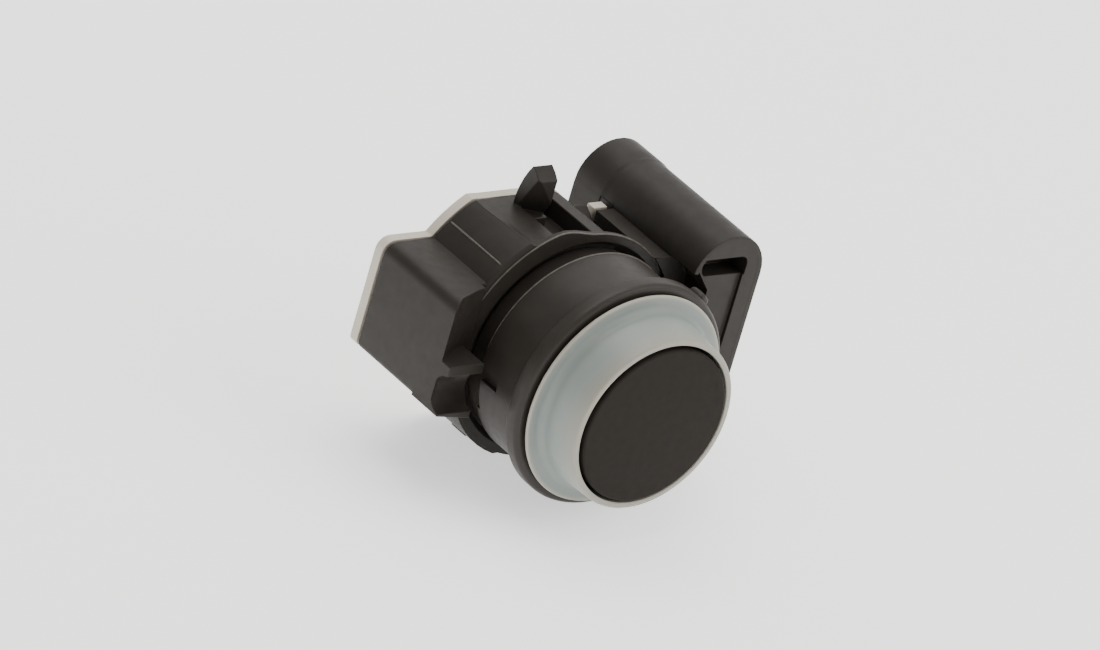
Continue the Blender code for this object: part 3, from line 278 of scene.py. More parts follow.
def bead(name, path, radius, finish, taper=8.0):
    """A round bead along a path of points: a circle carried square to the path, thinned at both ends.

    The circle's points are path + r (cos t side + sin t out), where out points away from the sensor's
    axis, side is square to it and to the path, and r falls to nothing over 1 / taper of the length.
    The circle has so few sides that only turns over 60 degrees are left unsmoothed.
    """
    sides = 12
    along = np.gradient(path, axis=0)
    along /= np.linalg.norm(along, axis=1, keepdims=True)
    out = path * (1.0, 0.0, 1.0)
    out /= np.linalg.norm(out, axis=1, keepdims=True)
    side = np.cross(along, out)
    side /= np.linalg.norm(side, axis=1, keepdims=True)
    share = np.linspace(0.0, 1.0, len(path))
    thickness = radius * np.minimum(1.0, taper * np.minimum(share, 1.0 - share))[None, :, None]
    turn = even_angles(sides)[:, None, None]
    points = path[None] + thickness * (np.cos(turn) * side[None] + np.sin(turn) * out[None])
    return add_piece(name, sheet_mesh(name, points, True, False, 60.0), finish)


def room_beside(edge, vertex):
    """How far an edge may be rounded before it runs past a neighbour at one of its ends."""
    own = (edge.other_vert(vertex).co - vertex.co).normalized()
    room = edge.calc_length()
    for face in edge.link_faces:
        for other in vertex.link_edges:
            if other is not edge and other in face.edges:
                side = other.other_vert(vertex).co - vertex.co
                room = min(room, side.cross(own).length)
    return room


def mark_edges(mesh, width, covered):
    """Weight the edges that turn by over 28 degrees, less where their neighbours leave less room.

    An edge takes up to ROOM_SHARE of the room beside it, and stays as it is where that is under
    LEAST_WEIGHT of the width. covered takes the middles of all edges and tells which of them
    another surface covers.
    """
    work = bmesh.new()
    work.from_mesh(mesh)
    layer = work.edges.layers.float.new("bevel_weight_edge")
    middles = np.array([(edge.verts[0].co + edge.verts[1].co)[:] for edge in work.edges]) / 2
    for edge, hidden in zip(work.edges, covered(middles)):
        if not hidden and edge.calc_face_angle(0.0) > EDGE_TURN:
            room = min(room_beside(edge, vertex) for vertex in edge.verts)
            weight = min(1.0, ROOM_SHARE * room / width)
            edge[layer] = weight if weight > LEAST_WEIGHT else 0.0
    work.to_mesh(mesh)
    work.free()


def nothing_covered(middles):
    """For a piece whose edges all show."""
    return np.zeros(len(middles), bool)


def lowered_peak(places):
    """Places with the drum's arc ended where it meets the top flat, so that no ridge stands over it."""
    peak_height = 0.4 * MM
    peak_right = -6.4 * MM
    peak_front = 14.9 * MM
    x, y, z = places.T
    peak = (z > TOP_FLAT) & (z < TOP_FLAT + peak_height) & (x < peak_right) & (y > peak_front)
    result = places.copy()
    result[peak, 0] = -math.sqrt(DRUM_RADIUS ** 2 - TOP_FLAT ** 2)
    result[peak, 2] = TOP_FLAT
    return result


def rounded_copy(node, name, width, finish, covered=nothing_covered):
    """A piece in a frame solid's shape, with its doubled points merged and its edges rounded."""
    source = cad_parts[node].data
    mesh = bpy.data.meshes.new(name)
    places = np.empty(len(source.vertices) * 3, np.float32)
    source.vertices.foreach_get("co", places)
    corners = np.empty(len(source.loops), np.int32)
    source.loops.foreach_get("vertex_index", corners)
    places = lowered_peak(places.reshape(-1, 3))
    mesh.from_pydata(places.tolist(), [], corners.reshape(-1, 3).tolist())
    work = bmesh.new()
    work.from_mesh(mesh)
    bmesh.ops.remove_doubles(work, verts=work.verts, dist=WELD)
    bmesh.ops.dissolve_degenerate(work, edges=work.edges, dist=SHORTEST_EDGE)
    bmesh.ops.recalc_face_normals(work, faces=work.faces)
    bmesh.ops.dissolve_limit(
        work, angle_limit=FLAT_TURN, verts=work.verts, edges=work.edges, delimit=set())
    work.to_mesh(mesh)
    work.free()
    mesh.shade_smooth()
    mesh.set_sharp_from_angle(angle=EDGE_TURN)
    mark_edges(mesh, width, covered)
    piece = add_piece(name, mesh, finish, node)
    bevel = piece.modifiers.new("Edges", "BEVEL")
    bevel.width = width
    bevel.segments = 2
    bevel.limit_method = "WEIGHT"
    bevel.use_clamp_overlap = False
    bevel.harden_normals = True
    bevel.miter_outer = "MITER_ARC"
    return piece


# Finishes: one procedural material for each stuff that the sensor is made of, and one painted highlight
# for the beads


class Finish:
    """Builds one procedural material, node by node, on Object coordinates.

    slot names the record's material slot meant for this finish; it is kept but not used.
    """

    def __init__(self, name, colour, roughness, gloss=0.5, slot=None):
        self.material = bpy.data.materials.new(name)
        self.material.use_nodes = True
        self.tree = self.material.node_tree
        self.shader = self.tree.nodes["Principled BSDF"]
        self.shader.inputs["Base Color"].default_value = (*colour, 1.0)
        self.shader.inputs["Roughness"].default_value = roughness
        self.shader.inputs["Specular IOR Level"].default_value = gloss
        self.colour = colour
        self.roughness = roughness
        self.slot = slot
        self.place = self.node("ShaderNodeTexCoord").outputs["Object"]

    def node(self, kind, **values):
        made = self.tree.nodes.new(kind)
        for key, value in values.items():
            setattr(made, key, value)
        return made

    def link(self, source, node, socket):
        self.tree.links.new(source, node.inputs[socket])

    def noise(self, size, detail=3.0):
        """Cloudy noise whose lumps are about size metres across."""
        noise = self.node("ShaderNodeTexNoise")
        noise.inputs["Scale"].default_value = 1.0 / size
        noise.inputs["Detail"].default_value = detail
        self.link(self.place, noise, "Vector")
        return noise.outputs["Fac"]

    def ranged(self, source, low, high, start=0.3, end=0.7):
        """A value stretched from start..end to low..high; noise mostly lies in the given start..end."""
        made = self.node("ShaderNodeMapRange")
        for socket, value in (("From Min", start), ("From Max", end), ("To Min", low), ("To Max", high)):
            made.inputs[socket].default_value = value
        self.link(source, made, "Value")
        return made.outputs["Result"]

    def mixed(self, factor, first, second):
        """A colour that goes from first to second with the factor; each is a colour or a socket."""
        made = self.node("ShaderNodeMix", data_type="RGBA")
        for socket, colour in ((MIX_FIRST, first), (MIX_SECOND, second)):
            if isinstance(colour, tuple):
                made.inputs[socket].default_value = (*colour, 1.0)
            else:
                self.link(colour, made, socket)
        self.link(factor, made, MIX_FACTOR)
        return made.outputs[MIX_RESULT]

    def colour_varies(self, size, amount):
        """The colour lightens and darkens by a share of itself over lumps of one size."""
        light = tuple(min(1.0, value * (1.0 + amount)) for value in self.colour)
        dark = tuple(value * (1.0 - amount) for value in self.colour)
        clouds = self.ranged(self.noise(size), 0.0, 1.0)
        self.link(self.mixed(clouds, dark, light), self.shader, "Base Color")

    def roughness_varies(self, size, amount):
        """The roughness rises and falls by an amount over lumps of one size."""
        low = self.roughness - amount
        high = self.roughness + amount
        patches = self.ranged(self.noise(size, detail=4.0), low, high)
        self.link(patches, self.shader, "Roughness")

    def grain(self, size, height):
        """Fine moulded grain as bump."""
        bump = self.node("ShaderNodeBump")
        bump.inputs["Distance"].default_value = height
        bump.inputs["Strength"].default_value = 1.0
        self.link(self.noise(size, detail=2.0), bump, "Height")
        self.link(bump.outputs["Normal"], self.shader, "Normal")


def dress(piece, finish):
    """Give a piece or a frame node one finish in place of what it has."""
    piece.data.materials.clear()
    piece.data.materials.append(finish.material)


def tinted(colour, shares):
    """A colour with each of its three values times its own share."""
    return tuple(value * share for value, share in zip(colour, shares))


def moulding_finish():
    """Filled black plastic: satin, faintly warm, with fine grain and cloudy gloss."""
    colour = bpy.context.scene.sensor_colours.moulding[:]
    finish = Finish("moulded_black", colour, roughness=0.42, gloss=0.17, slot="black_plastic")
    finish.colour_varies(size=1.6 * MM, amount=0.10)
    finish.roughness_varies(size=0.9 * MM, amount=0.05)
    finish.grain(size=0.10 * MM, height=0.0035 * MM)
    return finish


def painted_highlight_finish():
    """Painted highlight for the thin beads: the black plastic at three times its colour, rough and greyer,
    so that edges and the parting line look lit.
    """
    # Painted highlight: tripling the moulding's colour stands in for light caught along thin edges.
    colour = tinted(bpy.context.scene.sensor_colours.moulding[:], (3.0, 3.0, 3.0))
    finish = Finish("painted_edge_highlight", colour, roughness=0.45, slot="black_plastic")
    finish.colour_varies(size=0.5 * MM, amount=0.25)
    finish.grain(size=0.10 * MM, height=0.004 * MM)
    return finish


def sleeve_finish():
    """Smoother black plastic of the barrel."""
    colour = bpy.context.scene.sensor_colours.sleeve[:]
    finish = Finish("smooth_black", colour, roughness=0.38, gloss=0.2, slot="gloss_black_plastic")
    finish.colour_varies(size=2.0 * MM, amount=0.08)
    finish.roughness_varies(size=0.7 * MM, amount=0.04)
    finish.grain(size=0.12 * MM, height=0.002 * MM)
    return finish


def ring_finish():
    """Soft pale silicone: light goes a little way in. Its colour holds painted light: both rims are
    painted warmer than the wall.

    The wall is painted cooler with its distance behind the front rim, and a painted highlight lightens the
    flange over the last of its distance from the sensor's axis.
    """
    colour = bpy.context.scene.sensor_colours.ring[:]
    # Painted light: a warm tint for the lit rims, a cool tint for the wall, and a lighter tint as a
    # painted highlight on the flange's edge.
    cool = tinted(colour, (0.86, 0.98, 1.01))
    warm = tinted(colour, (1.10, 1.03, 0.95))
    light = tinted(colour, (1.30, 1.22, 1.14))
    finish = Finish("pale_silicone", colour, roughness=0.42, slot="pale_silicone")
    split = finish.node("ShaderNodeSeparateXYZ")
    finish.link(finish.place, split, "Vector")
    behind_rim = finish.ranged(split.outputs["Y"], 0.0, 1.0, start=0.3 * MM, end=2.4 * MM)
    across = finish.node("ShaderNodeCombineXYZ")
    finish.link(split.outputs["X"], across, "X")
    finish.link(split.outputs["Z"], across, "Z")
    distance = finish.node("ShaderNodeVectorMath", operation="LENGTH")
    finish.link(across.outputs["Vector"], distance, "Vector")
    # The painted highlight lies on the flange's outer edge.
    flange_highlight = finish.ranged(distance.outputs["Value"], 0.0, 1.0, start=10.15 * MM, end=10.45 * MM)
    wall = finish.mixed(behind_rim, warm, cool)
    wall = finish.mixed(flange_highlight, wall, light)
    cloud = finish.ranged(finish.noise(2.5 * MM), 0.0, 0.3)
    finish.link(finish.mixed(cloud, wall, warm), finish.shader, "Base Color")
    finish.shader.inputs["Subsurface Weight"].default_value = 0.45
    finish.shader.inputs["Subsurface Radius"].default_value = (1.0, 0.95, 0.8)
    finish.shader.inputs["Subsurface Scale"].default_value = 0.7 * MM
    finish.roughness_varies(size=0.5 * MM, amount=0.05)
    finish.grain(size=0.2 * MM, height=0.002 * MM)
    return finish


def cover_finish():
    """Pale natural plastic of the rear cover."""
    colour = bpy.context.scene.sensor_colours.cover[:]
    finish = Finish("pale_plastic", colour, roughness=0.5, slot="pale_cover_plastic")
    finish.colour_varies(size=1.8 * MM, amount=0.04)
    finish.roughness_varies(size=0.8 * MM, amount=0.05)
    finish.grain(size=0.12 * MM, height=0.003 * MM)
    return finish


def face_finish():
    """Matt black paint with a fine sprayed texture."""
    colour = bpy.context.scene.sensor_colours.face[:]
    finish = Finish("painted_face", colour, roughness=0.65, gloss=0.08, slot="painted_aluminium")
    finish.colour_varies(size=0.8 * MM, amount=0.07)
    finish.roughness_varies(size=0.4 * MM, amount=0.05)
    finish.grain(size=0.07 * MM, height=0.004 * MM)
    return finish


def metal_finish(name, colour, roughness, slot=None):
    """Plated metal with small patches in its colour and gloss."""
    finish = Finish(name, colour, roughness, slot=slot)
    finish.shader.inputs["Metallic"].default_value = 1.0
    finish.colour_varies(size=0.6 * MM, amount=0.06)
    finish.roughness_varies(size=0.25 * MM, amount=0.06)
    finish.grain(size=0.08 * MM, height=0.001 * MM)
    return finish


def plain_finish(name, colour, roughness, size, height):
    """A cast, pressed or foamed stuff whose clouds are two and three times as large as its grain."""
    finish = Finish(name, colour, roughness)
    finish.colour_varies(size * 3, amount=0.12)
    finish.roughness_varies(size * 2, amount=0.06)
    finish.grain(size, height)
    return finish


# Operators: one for each part or group of like parts, and one for the stage


class SENSOR_OT_cup(bpy.types.Operator):
    """Turn the transducer cup: a closed round front and an oval hollow behind its membrane."""

    bl_idname = "sensor.cup"
    bl_label = "Transducer cup"

    def execute(self, context):
        side_wall = 1.35 * MM
        thick_wall = 2.55 * MM
        rear_edge = 0.1 * MM
        hollow_corner = 0.3 * MM
        sizes = context.scene.sensor_sizes
        low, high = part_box("transducer_cup")
        radius = sizes.cup_radius
        half_width = radius - side_wall
        half_height = radius - thick_wall
        outline = rounded_outline([
            (0.0, low.y, 0.0),
            (radius, low.y, sizes.cup_edge),
            (radius, high.y, rear_edge),
            (half_width, high.y, rear_edge),
            (half_width, sizes.membrane, hollow_corner),
            (0.0, sizes.membrane, 0.0),
        ])

        def oval(angle, distance, depth):
            """Inside the wall the radius shrinks towards an ellipse of the hollow's two half sizes."""
            ellipse = half_height / np.sqrt(
                (half_height / half_width * np.cos(angle)) ** 2 + np.sin(angle) ** 2)
            inside = (distance <= half_width + SAME_NUMBER) & (depth > low.y + sizes.cup_edge)
            return np.where(inside, distance * ellipse / half_width, distance)

        points = turned_points(outline, even_angles(sizes.turn_steps), oval)
        mesh = sheet_mesh("cup_surface", points, True, False)
        add_piece("cup_surface", mesh, face_finish(), "transducer_cup")
        return {"FINISHED"}


class SENSOR_OT_ring(bpy.types.Operator):
    """Turn the pale decoupling ring: a slightly conical wall that sweeps out into its flange."""

    bl_idname = "sensor.ring"
    bl_label = "Decoupling ring"

    def execute(self, context):
        clearance = 0.3 * MM
        wall = 0.95 * MM
        flange_front = 4.75 * MM
        flange_rear = 5.1 * MM
        bore_edge = 0.12 * MM
        rim_edge = 0.24 * MM
        flange_edge = 0.16 * MM
        inner_corner = 0.05 * MM
        spigot_edge = 0.1 * MM
        sizes = context.scene.sensor_sizes
        low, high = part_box("decoupling_ring")
        bore = sizes.cup_radius + clearance
        spigot = bore + wall
        outline = rounded_outline([
            (bore, low.y, bore_edge),
            (sizes.rim_radius, low.y, rim_edge),
            (sizes.neck_radius, flange_front, sizes.ring_fillet),
            (high.x, flange_front, flange_edge),
            (high.x, flange_rear, flange_edge),
            (spigot, flange_rear, inner_corner),
            (spigot, high.y, spigot_edge),
            (bore, high.y, spigot_edge),
        ], steps=10)
        points = turned_points(outline, even_angles(sizes.turn_steps))
        mesh = sheet_mesh("ring_surface", points, True, True)
        add_piece("ring_surface", mesh, ring_finish(), "decoupling_ring")
        return {"FINISHED"}


class SENSOR_OT_sleeve(bpy.types.Operator):
    """Turn the front sleeve: flange, barrel with its key slot and relief, and the spigot behind."""

    bl_idname = "sensor.sleeve"
    bl_label = "Front sleeve"

    def execute(self, context):
        ring_room = 1.55 * MM
        wall = 1.1 * MM
        spigot_step = 0.5 * MM
        spigot_length = 1.9 * MM
        spigot_wall = 0.8 * MM
        flange_rise = 0.9 * MM
        flange_thickness = 1.6 * MM
        shoulder_step = 0.8 * MM
        shoulder_front = 9.6 * MM
        shoulder_rear = 12.1 * MM
        spigot_edge = 0.1 * MM
        spigot_corner = 0.04 * MM
        flange_corner = 0.12 * MM
        flange_rear_edge = 0.15 * MM
        bore_edge = 0.06 * MM
        inner_corner = 0.05 * MM
        sizes = context.scene.sensor_sizes
        low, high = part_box("front_sleeve")
        bore = sizes.cup_radius + ring_room
        barrel = bore + wall
        spigot = barrel - spigot_step
        flange = barrel + flange_rise
        flange_rear = low.y + flange_thickness
        barrel_rear = high.y - spigot_length
        slots, slot_floor, slot_corners, slot_sides = self.slots(barrel, barrel_rear)
        outline = rounded_outline([
            (spigot, high.y, spigot_edge),
            (spigot, barrel_rear, spigot_corner),
            (barrel, barrel_rear, sizes.barrel_edge),
            *slot_corners,
            (barrel, flange_rear, flange_corner),
            (flange, flange_rear, flange_rear_edge),
            (flange, low.y, sizes.flange_edge),
            (bore, low.y, bore_edge),
            (bore, shoulder_front, inner_corner),
            (bore - shoulder_step, shoulder_front, inner_corner),
            (bore - shoulder_step, shoulder_rear, inner_corner),
            (spigot - spigot_wall, shoulder_rear, inner_corner),
            (spigot - spigot_wall, high.y, inner_corner),
        ])

        def slotted(angle, distance, depth):
            """Within a slot's angles and behind its start, the barrel's radius drops to the floor."""
            result = distance
            turn = np.degrees(angle)
            for start, end, front in slots:
                inside = (turn > start) & (turn < end) & (depth > front) & (distance > slot_floor)
                result = np.where(inside, slot_floor, result)
            return result

        angles = np.unique(np.concatenate([even_angles(sizes.turn_steps), slot_sides]))
        mesh = sheet_mesh("sleeve_surface", turned_points(outline, angles, slotted), True, True)
        finish = sleeve_finish()
        add_piece("sleeve_surface", mesh, finish, "front_sleeve")
        add_piece("index_lug_surface", self.lug(flange_rear, barrel), finish)
        # The barrel's rear-edge bead carries the painted highlight colour.
        bead("barrel_bead", self.rear_edge(barrel, barrel_rear), sizes.barrel_bead, painted_highlight_finish())
        return {"FINISHED"}

    def slots(self, barrel, barrel_rear):
        """The key slot and the shallow relief beside it, as (first angle, last angle, front end).

        With them come the radius of their floor, the outline's corners close before and behind each
        front end, and the angles close before and behind each side, which make their walls steep.
        """
        key_start, key_end, relief_end = 181.0, 187.0, 205.0
        key_length = 2.8 * MM
        relief_length = 0.5 * MM
        floor = barrel - 0.38 * MM
        wall_slant = 0.01 * MM
        side_slant = 0.06
        slots = (
            (key_start, key_end, barrel_rear - key_length),
            (key_end, relief_end, barrel_rear - relief_length),
        )
        corners = [
            (barrel, front + side * wall_slant, 0.0)
            for front in sorted((slot[2] for slot in slots), reverse=True)
            for side in (1, -1)
        ]
        sides = [
            angle + side * side_slant
            for angle in (key_start, key_end, relief_end)
            for side in (-1, 1)
        ]
        return slots, floor, corners, np.radians(sides)

    def rear_edge(self, barrel, barrel_rear):
        """The way of the bead round the barrel's rear edge, which stops short of the slots."""
        start, end = -140.0, 178.0
        steps = 300
        sunk = 0.02 * MM
        set_in = 0.1 * MM
        angle = np.radians(np.linspace(start, end, steps))
        return about_axis(barrel - sunk, angle, barrel_rear - set_in)

    def lug(self, flange_rear, barrel):
        """The index lug: a cushion-shaped block, whose three coordinates are signed powers of a sphere's.

        The powers flatten the sphere's sides, and the block is then turned about the sensor's axis.
        """
        lug_angle = 49.0
        half_width = 0.75 * MM
        half_depth = 0.95 * MM
        half_height = 0.94 * MM
        set_in = 0.05 * MM
        lift = 0.51 * MM
        power = 0.5
        steps_around, steps_upward = 48, 25
        turn = even_angles(steps_around)[:, None]
        rise = np.linspace(-math.pi / 2, math.pi / 2, steps_upward)[None, :]

        def flat(value):
            return np.sign(value) * np.abs(value) ** power

        width = half_width * flat(np.cos(rise)) * flat(np.cos(turn))
        depth = flange_rear - set_in + half_depth * flat(np.cos(rise)) * flat(np.sin(turn))
        height = barrel + lift + half_height * flat(np.sin(rise))
        points = np.stack(np.broadcast_arrays(width, depth, height), axis=-1)
        mesh = sheet_mesh("index_lug_surface", points, True, False)
        mesh.transform(Matrix.Rotation(math.radians(90.0 - lug_angle), 4, "Y"))
        return mesh


class SENSOR_OT_housing(bpy.types.Operator):
    """Round the edges of the black housing and lay its smooth tube, parting line and rim bead over it."""

    bl_idname = "sensor.housing"
    bl_label = "Housing"

    def execute(self, context):
        step_rise = 0.1 * MM
        tube_height = 8.10 * MM
        front = 10.3 * MM
        sizes = context.scene.sensor_sizes
        finish = moulding_finish()
        bead_highlight = painted_highlight_finish()
        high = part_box("housing")[1]
        radius = sizes.tube_radius
        centre = np.array([high.x - radius - step_rise, tube_height])

        def covered(middles):
            """Edges under the tube's own surface, and those of the thin wall beneath its round front.

            The wall is thinner than two roundings, so its edges stay as they are.
            """
            facet = 0.25 * MM
            above_middle = 0.5 * MM
            left_margin = 0.2 * MM
            front_margin = 0.05 * MM
            thin_left, thin_right = 9.4 * MM, 12.3 * MM
            thin_low, thin_high = 6.4 * MM, 9.3 * MM
            thin_rear = 13.0 * MM
            x, y, z = middles.T
            round_top = np.hypot(x - centre[0], z - centre[1]) > radius - facet
            side = (x > centre[0] + radius - facet) | (round_top & (z > centre[1] + above_middle))
            under = side & (x > centre[0] - radius - left_margin) & (y > front - front_margin)
            thin = (x > thin_left) & (x < thin_right) & (z > thin_low) & (z < thin_high)
            return under | (thin & (y < thin_rear))

        rounded_copy("housing", "housing_surface", sizes.moulding_edge, finish, covered)
        add_piece("tube_surface", self.tube(sizes, centre, front, high.y), finish)
        # The parting line and collar rim beads carry the painted highlight colour.
        bead("parting_line", self.parting_line(), sizes.parting_radius, bead_highlight, taper=20.0)
        bead("collar_rim", self.collar_rim(), sizes.rim_bead, bead_highlight)
        return {"FINISHED"}

    def tube(self, sizes, centre, front, rear):
        """The connector's round top and right side: a thin skin whose section is carried along an arch.

        The section lies in (height over the arch, depth) and is rounded at both rims; the arch is an
        arc, a straight side, a small arc and a flat foot, and the section stands square to it. The
        skin rises by a tenth of a millimetre near the rear, with a faint groove across its top.
        """
        corner = 1.5 * MM
        foot = -4.0 * MM
        foot_end = 12.2 * MM
        arc_start = 171.5
        arc_steps = 100
        corner_steps = 24
        rise_from_rear = 3.8 * MM
        inside = -0.5 * MM
        overhang = 0.01 * MM
        groove_place = 0.10
        groove_depth = 0.035 * MM
        radius = sizes.tube_radius
        skin = sizes.tube_skin
        step = rear - rise_from_rear
        # Height over the front part and distance behind the step, both in millimetres
        slope = ((0.0, -0.7), (0.045, -0.30), (0.10, -0.05), (0.10, groove_place), (0.10, 0.25))
        section = rounded_outline([
            (skin, front - overhang, sizes.tube_edge),
            *[(skin + rise * MM, step + behind * MM, 0.0) for rise, behind in slope],
            (skin + slope[-1][0] * MM, rear + overhang, sizes.tube_edge),
            (inside, rear + overhang, 0.0),
            (inside, front - overhang, 0.0),
        ])
        over = np.radians(np.linspace(arc_start, 0.0, arc_steps))
        down = np.radians(np.linspace(0.0, -90.0, corner_steps))
        over_square = np.stack([np.cos(over), np.sin(over)], axis=-1)
        down_square = np.stack([np.cos(down), np.sin(down)], axis=-1)
        corner_centre = np.array([centre[0] + radius - corner, foot + corner])
        arch = np.concatenate([
            centre + radius * over_square,
            corner_centre + corner * down_square,
            [[foot_end, foot]],
        ])
        square = np.concatenate([over_square, down_square, [[0.0, -1.0]]])
        groove = np.zeros((len(arch), len(section)))
        on_mark = np.abs(section[:, 1] - (step + groove_place * MM)) < SAME_NUMBER
        # The groove runs out between 60 and 80 degrees on the right and 135 and 150 on the left
        along = np.degrees(np.concatenate([over, down, down[-1:]]))
        fade = np.clip((along - 60.0) / 20.0, 0.0, 1.0) * np.clip((150.0 - along) / 15.0, 0.0, 1.0)
        groove[:, on_mark] = groove_depth * fade[:, None]
        height = section[None, :, 0] - groove
        x = arch[:, None, 0] + square[:, None, 0] * height
        z = arch[:, None, 1] + square[:, None, 1] * height
        points = np.stack([x, np.broadcast_to(section[None, :, 1], x.shape), z], axis=-1)
        # Each end is closed by a last section gathered at the middle of the one before
        first, last = [np.broadcast_to(points[i].mean(axis=0), points[i].shape)[None] for i in (0, -1)]
        return sheet_mesh("tube_surface", np.concatenate([first, points, last]), False, True)

    def parting_line(self):
        """The way of the mould's parting line: straight along the drum to near the cover's rear face."""
        angle = math.radians(136.5)
        sunk = 0.03 * MM
        front = 14.75 * MM
        from_rear = 1.3 * MM
        steps = 40
        depth = np.linspace(front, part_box("rear_cover")[1].y - from_rear, steps)
        return about_axis(DRUM_RADIUS - sunk, angle, depth)

    def collar_rim(self):
        """The way of the bead along the collar's front edge, which swells towards the drum's round side.

        The edge's radius is radius + bulge a b, where a and b are cubic steps 3 u u - 2 u u u that
        rise from 88 to 110 degrees and fall from 172 to 188 degrees.
        """
        start, end = 28.0, 163.0
        steps = 160
        sunk = 0.03 * MM
        rise_start, rise_end, fall_start, fall_end = COLLAR_BULGE_ANGLES
        turn = np.linspace(start, end, steps)
        rise = np.clip((turn - rise_start) / (rise_end - rise_start), 0.0, 1.0)
        fall = np.clip((fall_end - turn) / (fall_end - fall_start), 0.0, 1.0)
        share = rise ** 2 * (3 - 2 * rise) * fall ** 2 * (3 - 2 * fall)
        return about_axis(COLLAR_RADIUS + COLLAR_BULGE * share - sunk, np.radians(turn), COLLAR_FRONT)


class SENSOR_OT_cover(bpy.types.Operator):
    """Round the edges of the pale rear cover."""

    bl_idname = "sensor.cover"
    bl_label = "Rear cover"

    def execute(self, context):
        edge = context.scene.sensor_sizes.cover_edge
        rounded_copy("rear_cover", "cover_surface", edge, cover_finish())
        return {"FINISHED"}


class SENSOR_OT_terminals(bpy.types.Operator):
    """Round the edges of the tinned terminals that show in the connector."""

    bl_idname = "sensor.terminals"
    bl_label = "Terminals"

    def execute(self, context):
        finish = metal_finish("tinned_brass", (0.62, 0.60, 0.55), 0.28, "tinned_brass")
        edge = context.scene.sensor_sizes.terminal_edge
        for name in sorted(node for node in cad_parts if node.startswith("terminal_")):
            rounded_copy(name, name + "_surface", edge, finish)
        return {"FINISHED"}


class SENSOR_OT_inner_parts(bpy.types.Operator):
    """Give the hidden parts behind the face and on the circuit board their finishes."""

    bl_idname = "sensor.inner_parts"
    bl_label = "Inner parts"

    def execute(self, context):
        foam = plain_finish("grey_foam", (0.16, 0.16, 0.16), 0.9, 0.35 * MM, 0.03 * MM)
        white = plain_finish("white_plastic", (0.62, 0.61, 0.57), 0.5, 0.12 * MM, 0.003 * MM)
        ceramic = plain_finish("piezo_ceramic", (0.48, 0.43, 0.33), 0.55, 0.08 * MM, 0.002 * MM)
        ferrite = plain_finish("ferrite", (0.05, 0.05, 0.055), 0.6, 0.1 * MM, 0.003 * MM)
        epoxy = plain_finish("chip_epoxy", (0.018, 0.018, 0.018), 0.5, 0.09 * MM, 0.003 * MM)
        resin = plain_finish("capacitor_resin", (0.62, 0.38, 0.08), 0.45, 0.1 * MM, 0.002 * MM)
        tan = plain_finish("capacitor_ceramic", (0.38, 0.27, 0.15), 0.55, 0.06 * MM, 0.002 * MM)
        laminate = plain_finish("board_laminate", (0.02, 0.14, 0.06), 0.4, 0.2 * MM, 0.002 * MM)
        brass = metal_finish("contact_brass", (0.60, 0.52, 0.36), 0.3)
        copper = metal_finish("winding_copper", (0.68, 0.30, 0.15), 0.35)
        steel = metal_finish("crystal_can", (0.6, 0.6, 0.62), 0.3)
        finishes = {
            "damping_foam": foam, "rear_damper": foam, "contact_carrier": white, "piezo_disc": ceramic,
            "transformer_core": ferrite, "control_chip": epoxy, "storage_capacitor": resin,
            "crystal": steel, "circuit_board": laminate, "transformer_winding": copper,
        }
        rows = {"capacitor_": tan, "resistor_": epoxy, "contact_pin_": brass, "lead_wire_": copper}
        for name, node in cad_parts.items():
            row = [finish for start, finish in rows.items() if name.startswith(start)]
            if name in finishes:
                dress(node, finishes[name])
            elif row:
                dress(node, row[0])
        return {"FINISHED"}


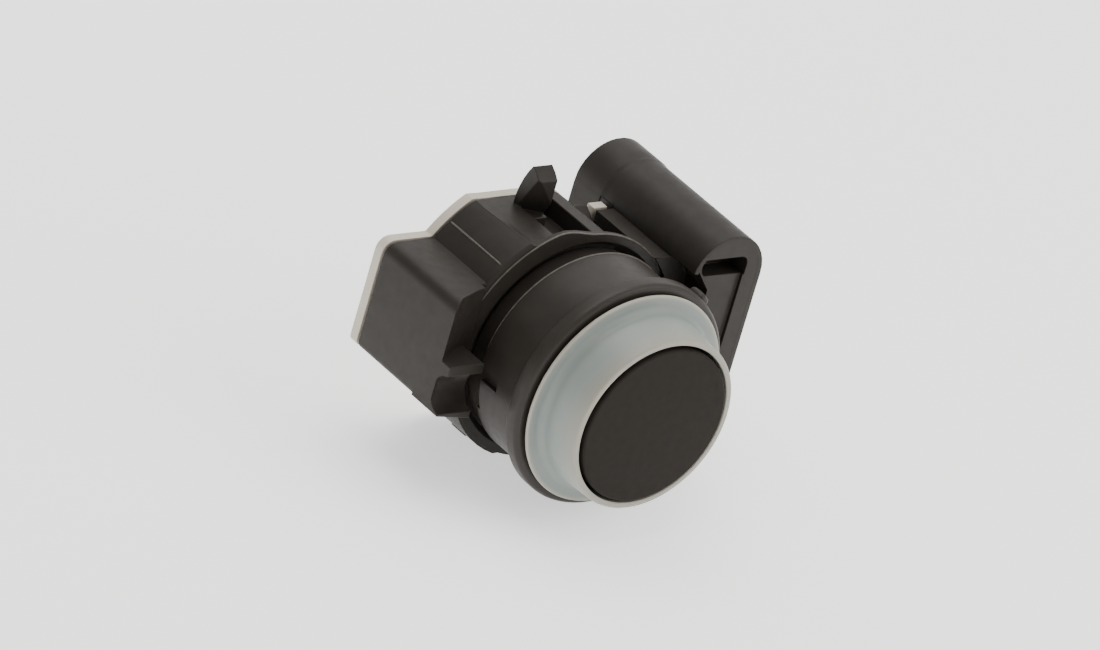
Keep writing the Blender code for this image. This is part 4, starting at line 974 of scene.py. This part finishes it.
class SENSOR_OT_stage(bpy.types.Operator):
    """Set the pale floor, the soft lights, the surroundings and the camera."""

    bl_idname = "sensor.stage"
    bl_label = "Stage"

    def execute(self, context):
        self.floor(context)
        self.surroundings(context)
        self.lights(context)
        self.camera(context)
        return {"FINISHED"}

    def floor(self, context):
        """A flat square sheet just under the part's lowest point, glowing so that it looks pale."""
        half_width = 2.5
        lines = 21
        below = 0.02 * MM
        side = np.linspace(-half_width, half_width, lines)
        x, y = np.meshgrid(side, side, indexing="ij")
        points = np.stack([x, y, np.full_like(x, FRAME_BOX[0][2] - below)], axis=-1)
        floor = bpy.data.objects.new("floor", sheet_mesh("floor", points, False, False))
        context.scene.collection.objects.link(floor)
        colour = context.scene.sensor_colours.floor[:]
        finish = Finish("floor_paper", colour, roughness=0.85, gloss=0.1)
        finish.grain(size=2.0 * MM, height=0.005 * MM)
        finish.shader.inputs["Emission Color"].default_value = (1.0, 1.0, 1.0, 1.0)
        finish.shader.inputs["Emission Strength"].default_value = 0.9
        dress(floor, finish)

    def surroundings(self, context):
        world = bpy.data.worlds.new("studio")
        world.use_nodes = True
        background = world.node_tree.nodes["Background"]
        background.inputs["Color"].default_value = (1.0, 0.995, 0.985, 1.0)
        background.inputs["Strength"].default_value = 0.5
        context.scene.world = world

    def lights(self, context):
        """Area lights given by direction from the part (turn, height), distance, size and power.

        The direction is in degrees, the distance and size in metres, and the power in watts.
        """
        middle = Vector([(a + b) / 2 for a, b in zip(*FRAME_BOX)])
        table = (
            ("back_right_light", 45.0, 42.0, 0.55, 0.70, 1.5),
            ("front_right_light", 310.0, 32.0, 0.70, 0.60, 3.0),
            ("overhead_light", 100.0, 80.0, 0.70, 0.60, 3.6),
        )
        for name, turn, height, distance, size, power in table:
            lamp = bpy.data.lights.new(name, "AREA")
            lamp.shape = "SQUARE"
            lamp.size = size
            lamp.energy = power
            lamp.color = (1.0, 0.985, 0.965)
            light = bpy.data.objects.new(name, lamp)
            a = math.radians(turn)
            h = math.radians(height)
            towards = Vector((math.cos(a) * math.cos(h), math.sin(a) * math.cos(h), math.sin(h)))
            light.location = middle + towards * distance
            light.rotation_mode = "QUATERNION"
            light.rotation_quaternion = towards.to_track_quat("Z", "Y")
            context.scene.collection.objects.link(light)

    def camera(self, context):
        """A long lens at the photograph's angle, given by its own right-hand and backward directions."""
        lens = bpy.data.cameras.new("photo_camera")
        lens.sensor_fit = "HORIZONTAL"
        lens.sensor_width = 36.0
        lens.lens = 360.0
        lens.clip_start = 0.05
        lens.clip_end = 20.0
        lens.dof.use_dof = False
        camera = bpy.data.objects.new("photo_camera", lens)
        right = Vector((0.7744, -0.5790, 0.2552)).normalized()
        back = Vector((-0.6263, -0.6437, 0.4398)).normalized()
        up = back.cross(right).normalized()
        right = up.cross(back)
        turn = Matrix((right, up, back)).transposed()
        camera.rotation_mode = "QUATERNION"
        camera.rotation_quaternion = turn.to_quaternion()
        camera.location = (-0.6168, -0.6175, 0.4340)
        context.scene.collection.objects.link(camera)
        context.scene.camera = camera


class SENSOR_PT_parts(bpy.types.Panel):
    """Lists the steps that dress the sensor, and its sizes and colours."""

    bl_idname = "SENSOR_PT_parts"
    bl_label = "Parking sensor"
    bl_space_type = "VIEW_3D"
    bl_region_type = "UI"
    bl_category = "Sensor"

    def draw(self, context):
        for step in STEPS:
            self.layout.operator(step.bl_idname)
        for group in (context.scene.sensor_sizes, context.scene.sensor_colours):
            column = self.layout.column()
            for name in group.bl_rna.properties.keys():
                if name not in ("rna_type", "name"):
                    column.prop(group, name)


STEPS = (
    SENSOR_OT_cup,
    SENSOR_OT_ring,
    SENSOR_OT_sleeve,
    SENSOR_OT_housing,
    SENSOR_OT_cover,
    SENSOR_OT_terminals,
    SENSOR_OT_inner_parts,
    SENSOR_OT_stage,
)
CLASSES = (SensorSizes, SensorColours, *STEPS, SENSOR_PT_parts)


def register():
    for item in CLASSES:
        bpy.utils.register_class(item)
    bpy.types.Scene.sensor_sizes = PointerProperty(type=SensorSizes)
    bpy.types.Scene.sensor_colours = PointerProperty(type=SensorColours)


def unregister():
    del bpy.types.Scene.sensor_colours
    del bpy.types.Scene.sensor_sizes
    for item in reversed(CLASSES):
        bpy.utils.unregister_class(item)


def main():
    register()
    for step in STEPS:
        group, name = step.bl_idname.split(".")
        getattr(getattr(bpy.ops, group), name)()


if __name__ == "__main__":
    main()
